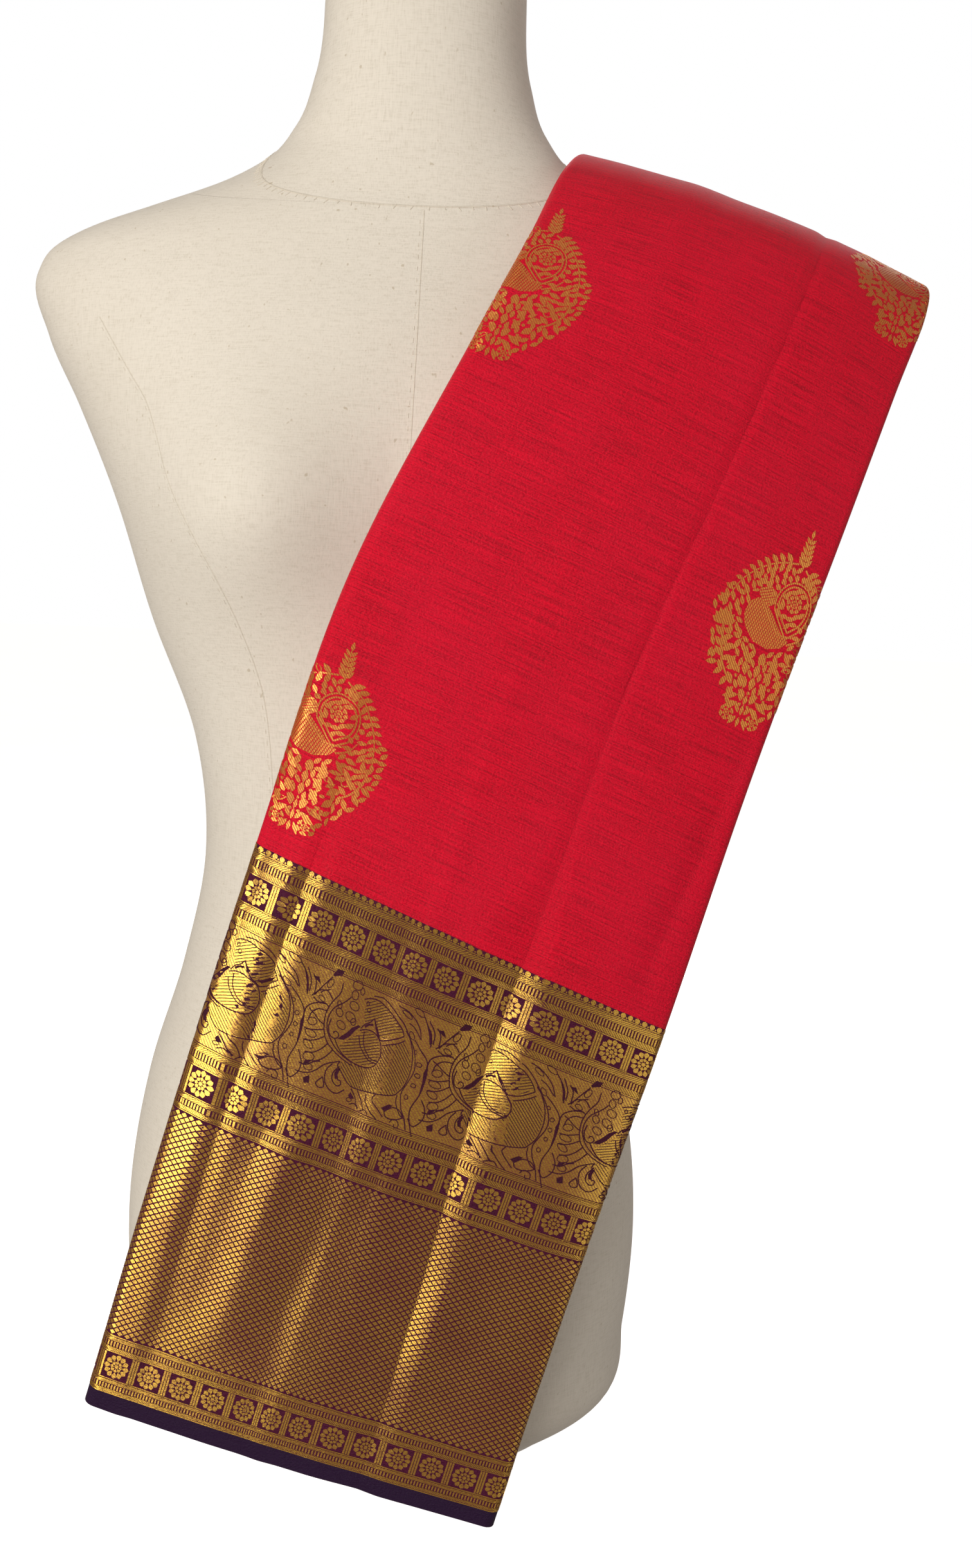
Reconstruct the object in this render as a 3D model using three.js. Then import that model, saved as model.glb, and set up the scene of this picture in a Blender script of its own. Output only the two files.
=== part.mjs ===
// A silk saree, folded lengthwise into a flat band and laid over one shoulder
// of a linen-covered dress form that stands on a low foot.
//
// Millimetres, +Z up. The form faces -Y and +X is to the right of someone
// looking at its front. The origin is on the floor, at the middle of the foot.
//
// The band is described in its own coordinates:
//   across  0 at the left fold, 1 at the right fold
//   along   0 at the front hem, over the shoulder, clothLength at the back hem
//   off     distance off the middle of the folded stack, towards the outside

import * as THREE from 'three';

// ---- driving dimensions of the saree ------------------------------------

const clothLength = 1200;        // the saree's own width, now the band's length
const selvedgeDepth = 8.5;       // plain edge below the front border
const borderDepth = 274;         // hem to the top of the broad woven border
const backBorderDepth = 46;      // narrow border of the other edge, on the back
const shoulderStart = 600;       // where the stretch over the shoulder begins
const shoulderEnd = 840;
const stackThickness = 11;       // the whole folded stack where it hangs free
const pressedBy = 2.5;           // how much thinner it is on the shoulder
const pressedAt = 690;
const pressedReach = 70;
const clothWall = 1;             // the outermost turn of cloth
const layerGap = 0.3;            // clear air between neighbouring pieces
const layerGroove = 0.8;         // grooves between the folded layers' edges
const hemSetback = 1.5;          // the hidden layers end a little inside the hem
const turnOpen = [0.76, 0.9];    // the outer turn is open here, on the inner side

// Places of the band's two folds: along, left fold x y z, right fold x y z,
// and how far the middle stands out of the straight line between them.
const bandRows = [
  [0,    -134, -122, 85,    66, -124, 30,    3],
  [140,   -95, -130, 228,  101, -119, 156,   3],
  [275,   -56, -135, 363,  138, -110, 277,   4],
  [420,   -15, -134, 493,  180, -93, 414,    5],
  [530,    33, -119, 594,  217, -74, 522,    8],
  [600,    57, -87, 647,   240, -58, 586,   12],
  [650,    71, -52, 684,   257, -36, 624,   10],
  [700,    81, -2, 705,    267, 0, 645,      6],
  [750,    76, 44, 693,    260, 37, 628,     8],
  [800,    62, 81, 657,    250, 64, 587,    10],
  [870,    44, 98, 590,    234, 81, 521,     8],
  [1000,    9, 101, 463,   202, 94, 395,     6],
  [1200,  -43, 101, 269,   151, 103, 201,    5],
];

// Soft creases left by storing the saree folded in four: place across, depth
// inwards, half width, and the stretch along the band that each one covers.
const creases = [
  { across: 0.64, depth: 2.2, halfWidth: 0.06, from: 40, to: 1160 },
  { across: 0.42, depth: -1.4, halfWidth: 0.06, from: 10, to: 330 },
];

// ---- driving dimensions of the dress form --------------------------------

const footHeight = 22;
const footHalfWidth = 70;
const footHalfDepth = 44;
const footMiddle = 2;            // the foot's middle, behind the form's axis
const underRounding = 28;        // height of the rounded lower edge
const neckTop = 797;
const neckSeam = 689;            // mean height of the seam round the neck
const neckSeamTilt = 24;         // lower in front, higher behind, by this much
const seamGap = 0.4;

// Level sections: height, half width, front depth, back depth, and the power
// that makes the section full (under 1) or pointed at the sides (over 1).
const formRows = [
  [22,  100, 67, 73, 0.95],
  [50,  131, 98, 104, 0.93],
  [85,  136, 103, 110, 0.92],
  [145, 139, 105, 111, 0.92],
  [220, 129, 101, 104, 0.92],
  [280, 112, 93, 92, 0.92],
  [340, 102, 86, 83, 0.92],
  [400, 109, 87, 82, 0.92],
  [460, 132, 91, 86, 0.92],
  [515, 150, 97, 90, 0.92],
  [570, 174, 94, 92, 0.95],
  [605, 191, 85, 90, 1.0],
  [638, 198, 72, 84, 1.12],
  [651, 190, 67, 80, 1.2],
  [662, 171, 63, 76, 1.3],
  [672, 144, 59, 71, 1.35],
  [686, 105, 56, 65, 1.35],
  [699, 80, 54, 60, 1.2],
  [714, 66, 53, 56, 1.0],
  [740, 56, 52, 54, 0.95],
  [797, 51, 49, 51, 0.95],
];
const sidePower = 0.92;
const bust = { x: 78, z: 515, stand: 27, halfWidth: 50, halfHeight: 52 };

// ---- materials ------------------------------------------------------------

const cloth = (color, metalness = 0) =>
  new THREE.MeshStandardMaterial({ color, roughness: 0.5, metalness });

const materials = {
  redSilk: cloth(0xc4102c),
  goldBorder: cloth(0x9a6a3a, 0.5),
  purpleSilk: cloth(0x3a1c48),
  innerLayers: cloth(0xa40e26),
  linen: new THREE.MeshStandardMaterial({ color: 0xded8cd, roughness: 0.9 }),
  foot: new THREE.MeshStandardMaterial({ color: 0xcfc8ba, roughness: 0.8 }),
};

// ---- small tools ------------------------------------------------------------

// A smooth curve through rows of numbers, the first of which is the place.
function rowAt(rows, place) {
  let i = 0;
  while (i < rows.length - 2 && place >= rows[i + 1][0]) i += 1;
  const step = (k) => rows[k + 1][0] - rows[k][0];
  const rise = (k, c) => (rows[k + 1][c] - rows[k][c]) / step(k);
  const slope = (k, c) => {
    if (k === 0) return rise(0, c);
    if (k === rows.length - 1) return rise(k - 1, c);
    return (rise(k - 1, c) * step(k) + rise(k, c) * step(k - 1)) / (step(k - 1) + step(k));
  };
  const h = step(i);
  const s = (place - rows[i][0]) / h;
  return rows[i].slice(1).map((_, column) => {
    const c = column + 1;
    return (2 * s ** 3 - 3 * s ** 2 + 1) * rows[i][c]
      + (s ** 3 - 2 * s ** 2 + s) * h * slope(i, c)
      + (3 * s ** 2 - 2 * s ** 3) * rows[i + 1][c]
      + (s ** 3 - s ** 2) * h * slope(i + 1, c);
  });
}

const bump = (distance, halfWidth) => Math.exp(-((distance / halfWidth) ** 2));
const signedPower = (value, power) => Math.sign(value) * Math.abs(value) ** power;

// Evenly spaced places from start to end, no further apart than step.
function places(start, end, step) {
  const count = Math.max(1, Math.ceil((end - start) / step));
  return Array.from({ length: count + 1 }, (_, i) => start + ((end - start) * i) / count);
}

// A closed solid through rings of equal length. Each end is closed by strips
// between pairs of ring positions that face each other. From crossFrom on, the
// four-sided facets are split along their other diagonal.
function loft(name, material, rings, pairs, crossFrom = Infinity) {
  const size = rings[0].length;
  const positions = rings.flat().flatMap((p) => [p.x, p.y, p.z]);
  const index = [];
  const quad = (a, b, c, d) => {
    if (a !== b && a !== c && b !== c) index.push(a, b, c);
    if (a !== c && c !== d && a !== d) index.push(a, c, d);
  };
  for (let r = 0; r < rings.length - 1; r += 1) {
    for (let i = 0; i < size; i += 1) {
      const next = (i + 1) % size;
      const [a, b, c, d] = [r * size + i, r * size + next, (r + 1) * size + next, (r + 1) * size + i];
      if (i < crossFrom) quad(a, b, c, d);
      else quad(b, c, d, a);
    }
  }
  const last = (rings.length - 1) * size;
  for (let k = 0; k < pairs.length - 1; k += 1) {
    const [a, b] = pairs[k];
    const [c, d] = pairs[k + 1];
    quad(b, d, c, a);
    quad(last + a, last + c, last + d, last + b);
  }
  const geometry = new THREE.BufferGeometry();
  geometry.setAttribute('position', new THREE.Float32BufferAttribute(positions, 3));
  geometry.setIndex(index);
  const mesh = new THREE.Mesh(turnOutwards(geometry), material);
  mesh.geometry.computeVertexNormals();
  mesh.name = name;
  return mesh;
}

// Reverses a geometry whose faces point inwards.
function turnOutwards(geometry) {
  const p = geometry.attributes.position;
  const index = geometry.index.array;
  const corner = (i) => new THREE.Vector3().fromBufferAttribute(p, index[i]);
  let volume = 0;
  for (let i = 0; i < index.length; i += 3) {
    volume += corner(i).dot(corner(i + 1).cross(corner(i + 2)));
  }
  if (volume < 0) geometry.setIndex(Array.from(index).reverse());
  return geometry;
}

// ---- the folded band ----------------------------------------------------------

const halfStack = (along) =>
  (stackThickness - pressedBy * bump(along - pressedAt, pressedReach)) / 2;

function bandLine(along) {
  const [lx, ly, lz, rx, ry, rz, crown] = rowAt(bandRows, along);
  return {
    left: new THREE.Vector3(lx, ly, lz),
    right: new THREE.Vector3(rx, ry, rz),
    crown,
  };
}

function creaseDepth(across, along) {
  const soft = 60;
  const fade = (c) => 1 / (1 + Math.exp(-(along - c.from) / soft * 4))
    / (1 + Math.exp(-(c.to - along) / soft * 4));
  return creases.reduce(
    (sum, c) => sum - c.depth * fade(c) * bump(across - c.across, c.halfWidth), 0);
}

// The middle of the stack, bowed outwards between its folds and creased.
function stackMiddle(across, along) {
  const line = bandLine(along);
  const ahead = bandLine(along + 2);
  const behind = bandLine(along - 2);
  const middleOf = (l) => l.left.clone().add(l.right).multiplyScalar(0.5);
  const chord = line.right.clone().sub(line.left);
  const run = middleOf(ahead).sub(middleOf(behind));
  const outwards = chord.clone().cross(run).normalize();
  const stand = line.crown * 4 * across * (1 - across) + creaseDepth(across, along);
  return line.left.clone().addScaledVector(chord, across).addScaledVector(outwards, stand);
}

function bandPoint(across, along, off) {
  const side = stackMiddle(across + 0.001, along).sub(stackMiddle(across - 0.001, along));
  const run = stackMiddle(across, along + 1).sub(stackMiddle(across, along - 1));
  return stackMiddle(across, along).addScaledVector(side.cross(run).normalize(), off);
}

// Columns across the band: [place, off] pairs for a stack of the given half
// thickness, with half-round folds at both sides. A positive inset moves the
// surface inwards, and groove cuts every other point of the folds.
const foldSteps = 4;
const faceColumns = [0.12, 0.28, 0.42, 0.53, 0.64, 0.76, 0.9];

function columns(along, inset, groove = 0) {
  const { left, right } = bandLine(along);
  const width = left.distanceTo(right);
  const half = halfStack(along);
  const fold = Array.from({ length: foldSteps + 1 }, (_, k) => {
    const angle = (Math.PI / 2) * (k / foldSteps);
    const radius = half - inset - (k % 2 ? groove : 0);
    return [(half - radius * Math.cos(angle)) / width, radius * Math.sin(angle)];
  });
  const face = faceColumns.map((across) => [across, half - inset]);
  const mirrored = fold.map(([across, off]) => [1 - across, off]).reverse();
  return [...fold, ...face, ...mirrored];
}

// A solid slab of cloth layers between two places along the band.
function layers(name, material, start, end) {
  const count = columns(0, 0).length;
  const rings = alongPlaces(start, end).map((along) => {
    const shape = columns(along, clothWall + layerGap, layerGroove);
    const front = shape.map(([across, off]) => bandPoint(across, along, off));
    const back = shape.slice(1, -1).reverse()
      .map(([across, off]) => bandPoint(across, along, -off));
    return [...front, ...back];
  });
  const ringSize = 2 * count - 2;
  const pairs = Array.from({ length: count }, (_, i) => [i, (ringSize - i) % ringSize]);
  return loft(name, material, rings, pairs);
}

// The outermost turn of cloth: round both folds and open on the inner side.
function outerTurn(name, material, start, end) {
  const path = (along, inset) => {
    const front = columns(along, inset);
    const back = front.slice(1, -1).map(([across, off]) => [across, -off]);
    return [
      ...back.filter(([across]) => across <= turnOpen[0]).reverse(),
      ...front,
      ...back.filter(([across]) => across >= turnOpen[1]).reverse(),
    ].map(([across, off]) => bandPoint(across, along, off));
  };
  const rings = alongPlaces(start, end).map((along) => [
    ...path(along, 0),
    ...path(along, clothWall).reverse(),
  ]);
  const size = rings[0].length;
  const pairs = Array.from({ length: size / 2 }, (_, i) => [i, size - 1 - i]);
  return loft(name, material, rings, pairs, size / 2);
}

// Cross sections, shared by all the pieces, so that neighbouring layers keep
// parallel facets. They stand close together where the band bends over the
// shoulder.
const sections = [
  [0, selvedgeDepth, selvedgeDepth],
  [selvedgeDepth, borderDepth, 54],
  [borderDepth, 560, 41],
  [560, shoulderStart, 20],
  [shoulderStart, 660, 15],
  [660, 750, 11.3],
  [750, shoulderEnd, 15],
  [shoulderEnd, 920, 27],
  [920, clothLength - backBorderDepth, 60],
  [clothLength - backBorderDepth, clothLength, backBorderDepth],
].flatMap(([from, to, step]) => places(from, to, step).slice(0, -1));

function alongPlaces(start, end) {
  const from = start > hemSetback ? start + seamGap / 2 : start;
  const to = end < clothLength - hemSetback ? end - seamGap / 2 : end;
  return [from, ...sections.filter((p) => p > start + 2 && p < end - 2), to];
}

function saree() {
  const group = new THREE.Group();
  const backBorderStart = clothLength - backBorderDepth;
  group.add(
    outerTurn('saree_front_selvedge', materials.purpleSilk, 0, selvedgeDepth),
    outerTurn('saree_front_border', materials.goldBorder, selvedgeDepth, borderDepth),
    outerTurn('saree_front_field', materials.redSilk, borderDepth, shoulderStart),
    outerTurn('saree_shoulder_field', materials.redSilk, shoulderStart, shoulderEnd),
    outerTurn('saree_back_field', materials.redSilk, shoulderEnd, backBorderStart),
    outerTurn('saree_back_border', materials.purpleSilk, backBorderStart, clothLength),
    layers('saree_inner_front', materials.innerLayers, hemSetback, shoulderStart),
    layers('saree_inner_shoulder', materials.innerLayers, shoulderStart, shoulderEnd),
    layers('saree_inner_back', materials.innerLayers, shoulderEnd, clothLength - hemSetback),
  );
  return group;
}

// ---- the dress form --------------------------------------------------------------

function formPoint(angle, z) {
  const [halfWidth, front, back, power] = rowAt(formRows, z);
  const s = Math.sin(angle);
  const c = Math.cos(angle);
  const x = halfWidth * signedPower(s, sidePower);
  const swell = bust.stand * bump(Math.abs(x) - bust.x, bust.halfWidth)
    * bump(z - bust.z, bust.halfHeight);
  const depth = c > 0 ? front : back;
  const y = -depth * signedPower(c, power) - (c > 0.001 ? swell : 0);
  return new THREE.Vector3(x, y, z);
}

const aroundForm = 36;

// One section of the form. A tilt lowers its front and raises its back.
function formRing(z, tilt) {
  return Array.from({ length: aroundForm }, (_, i) => {
    const angle = (2 * Math.PI * i) / aroundForm;
    return formPoint(angle, z - tilt * Math.cos(angle));
  });
}

const ringPairs = Array.from({ length: aroundForm / 2 + 1 },
  (_, i) => [i, (aroundForm - i) % aroundForm]);

function dressForm() {
  const group = new THREE.Group();
  const tiltStart = 600;
  const tiltAt = (z) => neckSeamTilt * THREE.MathUtils.smoothstep(z, tiltStart, neckSeam);
  const under = [0, 0.12, 0.35, 0.65, 1].map((s) => footHeight + underRounding * s);
  const body = [...under.slice(0, -1), ...places(footHeight + underRounding, tiltStart, 37),
    ...places(tiltStart, neckSeam, 11).slice(1)];
  const torso = body.map((z) => formRing(z, tiltAt(z)));
  group.add(loft('form_torso', materials.linen, torso, ringPairs));

  const neckStart = neckSeam + seamGap;
  const neck = places(neckStart, neckTop, 14).map((z) => {
    const level = (neckTop - z) / (neckTop - neckStart);
    return formRing(z, neckSeamTilt * level ** 2);
  });
  group.add(loft('form_neck', materials.linen, neck, ringPairs));

  const outline = new THREE.Shape();
  outline.absellipse(0, footMiddle, footHalfWidth, footHalfDepth, 0, 2 * Math.PI);
  const plate = new THREE.ExtrudeGeometry(outline,
    { depth: footHeight - seamGap, bevelEnabled: false, curveSegments: aroundForm / 2 });
  const foot = new THREE.Mesh(plate, materials.foot);
  foot.name = 'form_foot';
  group.add(foot);
  return group;
}

const model = new THREE.Group();
model.add(dressForm(), saree());

export default model;
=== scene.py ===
import math

import bpy
import numpy as np
from mathutils import Matrix, Vector
from mathutils.geometry import tessellate_polygon


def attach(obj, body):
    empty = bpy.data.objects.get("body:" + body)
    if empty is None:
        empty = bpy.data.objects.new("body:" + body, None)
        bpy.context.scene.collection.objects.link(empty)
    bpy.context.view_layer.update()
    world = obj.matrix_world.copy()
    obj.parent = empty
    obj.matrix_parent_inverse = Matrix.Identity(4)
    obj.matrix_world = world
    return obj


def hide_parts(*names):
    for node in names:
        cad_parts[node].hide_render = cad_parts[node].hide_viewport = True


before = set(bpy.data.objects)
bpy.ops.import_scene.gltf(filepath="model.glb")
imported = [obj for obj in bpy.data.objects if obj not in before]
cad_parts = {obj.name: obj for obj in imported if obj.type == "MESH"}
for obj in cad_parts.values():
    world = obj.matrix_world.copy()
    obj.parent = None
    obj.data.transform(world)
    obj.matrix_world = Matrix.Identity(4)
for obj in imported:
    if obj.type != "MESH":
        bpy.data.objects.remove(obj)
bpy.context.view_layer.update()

# A silk saree, folded lengthwise into a flat band and laid over one shoulder of
# a dress form. Shapes are worked out in millimetres and turned into metres when
# a mesh is made. +Z is up and the form faces -Y, as in the CAD.
#
# The cloth has its own coordinates:
#   u  round the band: 0 at the left fold, 206 at the right fold on the front,
#      below 0 and above 206 round the folds onto the inner side
#   v  along the band: 0 at the front hem, 1200 at the back hem
# The woven pattern also counts p, in rosettes from the left edge.

MM = 0.001
rng = np.random.default_rng(7)

# ---- driving dimensions, as in the CAD -------------------------------------------

CLOTH_LENGTH = 1200.0
SELVEDGE = 8.5
BORDER = 274.0
BACK_BORDER = 46.0
SHOULDER = (600.0, 840.0)
STACK, PRESSED_BY, PRESSED_AT, PRESSED_REACH = 11.0, 2.5, 690.0, 70.0
WIDTH = 206.0
CLOTH_THICKNESS = 0.45
OPEN_LEFT, OPEN_RIGHT = -162.8, 232.8

# The band's two folds: v, the left fold's x, y, z, the right fold's x, y, z, and how far
# the middle stands out of the straight line between them. The rows in front began as
# measured places and were then moved. Those behind are guessed.
BAND_ROWS = np.array([
    [0,    -134, -122, 85,    66, -124, 30,    3],
    [140,   -95, -130, 228,  101, -119, 156,   3],
    [275,   -56, -135, 363,  138, -110, 277,   4],
    [420,   -15, -134, 493,  180, -93, 414,    5],
    [530,    33, -119, 594,  217, -74, 522,    8],
    [600,    57, -87, 647,   240, -58, 586,   12],
    [650,    71, -52, 684,   257, -36, 624,   10],
    [700,    81, -2, 705,    267, 0, 645,      6],
    [750,    76, 44, 693,    260, 37, 628,     8],
    [800,    62, 81, 657,    250, 64, 587,    10],
    [870,    44, 98, 590,    234, 81, 521,     8],
    [1000,    9, 101, 463,   202, 94, 395,     6],
    [1200,  -43, 101, 269,   151, 103, 201,    5],
], float)

# The form: height, half width, depth in front, depth behind, and the power
# that its depth is curved by.
# The widths began as measured ones and were then changed.
FORM_ROWS = np.array([
    [22,  100, 67, 73, 0.95],
    [50,  131, 98, 104, 0.93],
    [85,  136, 103, 110, 0.92],
    [145, 139, 105, 111, 0.92],
    [220, 129, 101, 104, 0.92],
    [280, 112, 93, 92, 0.92],
    [340, 102, 86, 83, 0.92],
    [400, 109, 87, 82, 0.92],
    [460, 132, 91, 86, 0.92],
    [515, 150, 97, 90, 0.92],
    [570, 174, 94, 92, 0.95],
    [605, 191, 85, 90, 1.0],
    [638, 198, 72, 84, 1.12],
    [651, 190, 67, 80, 1.2],
    [662, 171, 63, 76, 1.3],
    [672, 144, 59, 71, 1.35],
    [686, 105, 56, 65, 1.35],
    [699, 80, 54, 60, 1.2],
    [714, 66, 53, 56, 1.0],
    [740, 56, 52, 54, 0.95],
    [797, 51, 49, 51, 0.95],
], float)
SIDE_POWER = 0.92
BUST = dict(x=78.0, z=515.0, stand=27.0, half_width=50.0, half_height=52.0)
FOOT = dict(height=22.0, half_width=70.0, half_depth=44.0, middle=2.0)
NECK_TOP, NECK_SEAM, NECK_TILT, TILT_START = 797.0, 689.0, 24.0, 600.0
NECK_STITCHES = 665.0    # height of the stitched line round the neck, in front

PILLOW = 6.0             # how far the soft filling lifts the stack over the front border
ACROSS_STEP = 0.0015     # half the step across the band that slopes are taken over

# Creases pressed into the folded band. Each row gives v, u, how deep the crease
# is there, and how wide its left and right flanks are. A negative depth is a ridge.
# Many of the places in the first two are ones that a measuring program printed, typed
# in here. The depths and widths were chosen.
CREASES = [np.array(rows, float) for rows in (
    [[0, 137, 0.2, 24, 10], [64, 137, 2.1, 24, 10], [107, 136, 3.1, 25, 11],
     [187, 132, 4.4, 28, 13], [262, 130, 4.8, 28, 14], [300, 130, 1.5, 12, 9],
     [340, 131, 0.7, 6, 5], [450, 133, 0.8, 6, 4], [565, 136, 0.8, 6, 4],
     [700, 142, 0.8, 6, 6], [1160, 142, 0.9, 8, 8], [1200, 142, 0, 8, 8]],
    [[0, 88, -0.1, 9, 9], [168, 89, -0.9, 9, 10], [255, 85, -0.9, 9, 10],
     [300, 84, -0.4, 7, 7], [400, 83, -0.25, 5, 5], [520, 82, 0, 5, 5]],
    [[0, 17, -0.1, 11, 7], [90, 16, -0.6, 12, 7], [150, 17, -1.5, 11, 7],
     [230, 18, -2.0, 11, 7], [285, 20, -1.0, 9, 6], [374, 23, -0.3, 5, 5],
     [470, 26, 0, 5, 5]],
    [[0, 33, 0, 8, 14], [90, 33, -0.3, 8, 14], [150, 31, -0.9, 8, 12],
     [230, 34, -1.4, 8, 16], [276, 35, -0.9, 8, 14], [330, 36, 0, 8, 12]],
    [[40, 52, 0, 9, 9], [100, 53, -0.5, 12, 9], [150, 59, -1.2, 14, 9], [192, 66, 0, 9, 9]],
    [[262, 186, 0, 10, 8], [310, 187, 1.2, 11, 8], [352, 192, 1.3, 9, 7], [430, 198, 0, 8, 6]],
    [[420, 60, 0, 16, 18], [560, 66, -0.4, 16, 18], [900, 66, -0.6, 14, 16],
     [1150, 66, 0, 14, 16]],
)]


# ---- curves and surfaces -----------------------------------------------------------

def row_at(rows, place):
    """A smooth curve through rows of numbers, the first of which is the place."""
    x, y = rows[:, 0], rows[:, 1:]
    step = np.diff(x)
    rise = np.diff(y, axis=0) / step[:, None]
    slope = np.empty_like(y)
    slope[0], slope[-1] = rise[0], rise[-1]
    before, after = step[:-1, None], step[1:, None]
    slope[1:-1] = (rise[1:] * before + rise[:-1] * after) / (before + after)
    place = np.asarray(place, float)
    i = np.clip(np.searchsorted(x, place, side="right") - 1, 0, len(x) - 2)
    h = step[i][..., None]
    s = ((place - x[i]) / step[i])[..., None]
    return ((2 * s**3 - 3 * s**2 + 1) * y[i] + (s**3 - 2 * s**2 + s) * h * slope[i]
            + (3 * s**2 - 2 * s**3) * y[i + 1] + (s**3 - s**2) * h * slope[i + 1])


def bump(distance, half_width):
    return np.exp(-((distance / half_width) ** 2))


def smoothstep(x, low, high):
    s = np.clip((x - low) / (high - low), 0, 1)
    return s * s * (3 - 2 * s)


def unit(vectors):
    return vectors / np.linalg.norm(vectors, axis=-1, keepdims=True)


def half_stack(v):
    return (STACK - PRESSED_BY * bump(v - PRESSED_AT, PRESSED_REACH)) / 2


def band_line(v):
    r = row_at(BAND_ROWS, v)
    return r[..., 0:3], r[..., 3:6], r[..., 6]


def crease_stand(u, v):
    """How far the creases, the soft filling between the two folds and the soft
    waves near the hem move the whole stack, outwards positive."""
    pillow = PILLOW * (1 - smoothstep(v, 280, 420)) * smoothstep(v, 0, 170)
    total = pillow * ((1 - np.exp(-np.clip(u, 0, None) / 34))
                      * (1 - np.exp(-np.clip(WIDTH - u, 0, None) / 22)))
    for rows in CREASES:
        middle, d, left, right = (np.interp(v, rows[:, 0], rows[:, k]) for k in range(1, 5))
        d = d * (v >= rows[0, 0]) * (v <= rows[-1, 0])
        x = u - middle
        width = np.where(x < 0, left, right)
        tent = np.sqrt((x / width) ** 2 + 0.012)
        total = total - d * np.clip(1.11 - tent, 0, None) ** 1.2
    uneven = smoothstep(v, 15, 60) * (1 - smoothstep(v, 230, 290))
    return total + 1.5 * uneven * ripples(u, v)


def stack_middle(across, v):
    left, right, crown = band_line(v)
    l1, r1, _ = band_line(v + 2)
    l0, r0, _ = band_line(v - 2)
    chord = right - left
    out = unit(np.cross(chord, (l1 + r1 - l0 - r0) / 2))
    stand = crown * 4 * across * (1 - across) + crease_stand(across * WIDTH, v)
    return left + chord * across[..., None] + out * stand[..., None]


def stack_point(across, v, off):
    """The point at a share across the stack, raised by off from its middle."""
    side = stack_middle(across + ACROSS_STEP, v) - stack_middle(across - ACROSS_STEP, v)
    run = stack_middle(across, v + 1) - stack_middle(across, v - 1)
    return stack_middle(across, v) + unit(np.cross(side, run)) * off[..., None]


def ripples(u, v):
    """Small unevenness of the cloth, in millimetres."""
    total = np.zeros(np.broadcast(u, v).shape)
    for wave in RIPPLES:
        total = total + wave[0] * np.sin(wave[1] * u + wave[2] * v + wave[3])
    return total


def make_ripples():
    waves = []
    for _ in range(14):
        length = rng.uniform(26, 90)
        angle = rng.normal(0, 0.35)
        k = 2 * math.pi / length
        waves.append((0.0016 * length * rng.uniform(0.4, 1.0), k * math.cos(angle),
                      k * math.sin(angle), rng.uniform(0, 2 * math.pi)))
    return waves


RIPPLES = make_ripples()


def cloth_point(u, v, depth):
    """The point of the outer turn at u, v, raised by depth off the stack."""
    u, v = np.broadcast_arrays(np.asarray(u, float), np.asarray(v, float))
    left, right, _ = band_line(v)
    width = np.linalg.norm(right - left, axis=-1)
    half = half_stack(v)
    fold = half * WIDTH / width
    radius = half + depth + ripples(u, v) * 0.6
    mirrored = u > WIDTH / 2
    w = np.where(mirrored, WIDTH - u, u)
    arc = (fold - w) / fold
    turn = np.clip(arc, 0, math.pi)
    back = np.clip(arc - math.pi, 0, None)
    across = np.where(arc < 0, w / WIDTH, (half - radius * np.sin(turn) + half * back) / width)
    off = radius * np.cos(turn)
    across = np.where(mirrored, 1 - across, across)
    return stack_point(across, v, off)


def form_point(angle, z, inset=0.0):
    r = row_at(FORM_ROWS, z)
    s, c = np.sin(angle), np.cos(angle)
    power = lambda x, p: np.sign(x) * np.abs(x) ** p
    x = (r[..., 0] - inset) * power(s, SIDE_POWER)
    swell = (BUST["stand"] * bump(np.abs(x) - BUST["x"], BUST["half_width"])
             * bump(z - BUST["z"], BUST["half_height"]))
    front = np.clip(c / 0.06, 0, 1)
    depth = np.where(c > 0, r[..., 1], r[..., 2]) - inset
    y = -depth * power(c, r[..., 3]) - front * swell
    return np.stack([x, y, z + 0 * x], -1)


# ---- meshes ----------------------------------------------------------------------------

def add_mesh(name, points, faces, cloth=None, sharp=50):
    """An object from points in millimetres. cloth holds u, v for every point."""
    mesh = bpy.data.meshes.new(name)
    mesh.from_pydata((np.asarray(points) * MM).tolist(), [], faces)
    if cloth is not None:
        layer = mesh.attributes.new("cloth", "FLOAT_VECTOR", "POINT")
        values = np.zeros((len(points), 3))
        values[:, :2] = cloth
        layer.data.foreach_set("vector", values.ravel())
    mesh.shade_smooth()
    if sharp:
        mesh.set_sharp_from_angle(angle=math.radians(sharp))
    mesh.update()
    obj = bpy.data.objects.new(name, mesh)
    bpy.context.scene.collection.objects.link(obj)
    return obj


def grid_faces(rows, columns, start=0, closed=False):
    i = np.arange(rows - 1)[:, None] * columns
    j = np.arange(columns if closed else columns - 1)[None, :]
    k = (j + 1) % columns
    quads = np.stack([i + j, i + k, i + columns + k, i + columns + j], -1)
    return (quads.reshape(-1, 4) + start).tolist()


def shell(name, us, vs, outer=0.0, thickness=CLOTH_THICKNESS):
    """A closed sheet of cloth with an outer and an inner surface."""
    rows, columns = len(vs), len(us)
    u, v = np.meshgrid(us, vs)
    top = cloth_point(u, v, np.full(u.shape, outer)).reshape(-1, 3)
    under = cloth_point(u, v, np.full(u.shape, outer - thickness)).reshape(-1, 3)
    faces = grid_faces(rows, columns)
    n = rows * columns
    faces += [[q + n for q in reversed(f)] for f in faces]
    ring = (list(range(columns)) + [r * columns + columns - 1 for r in range(1, rows)]
            + [n - 1 - c for c in range(1, columns)]
            + [r * columns for r in range(rows - 2, 0, -1)])
    faces += [[ring[(k + 1) % len(ring)], a, a + n, ring[(k + 1) % len(ring)] + n]
              for k, a in enumerate(ring)]
    uv = np.stack([u, v], -1).reshape(-1, 2)
    return add_mesh(name, np.vstack([top, under]), faces, np.vstack([uv, uv]))


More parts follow.
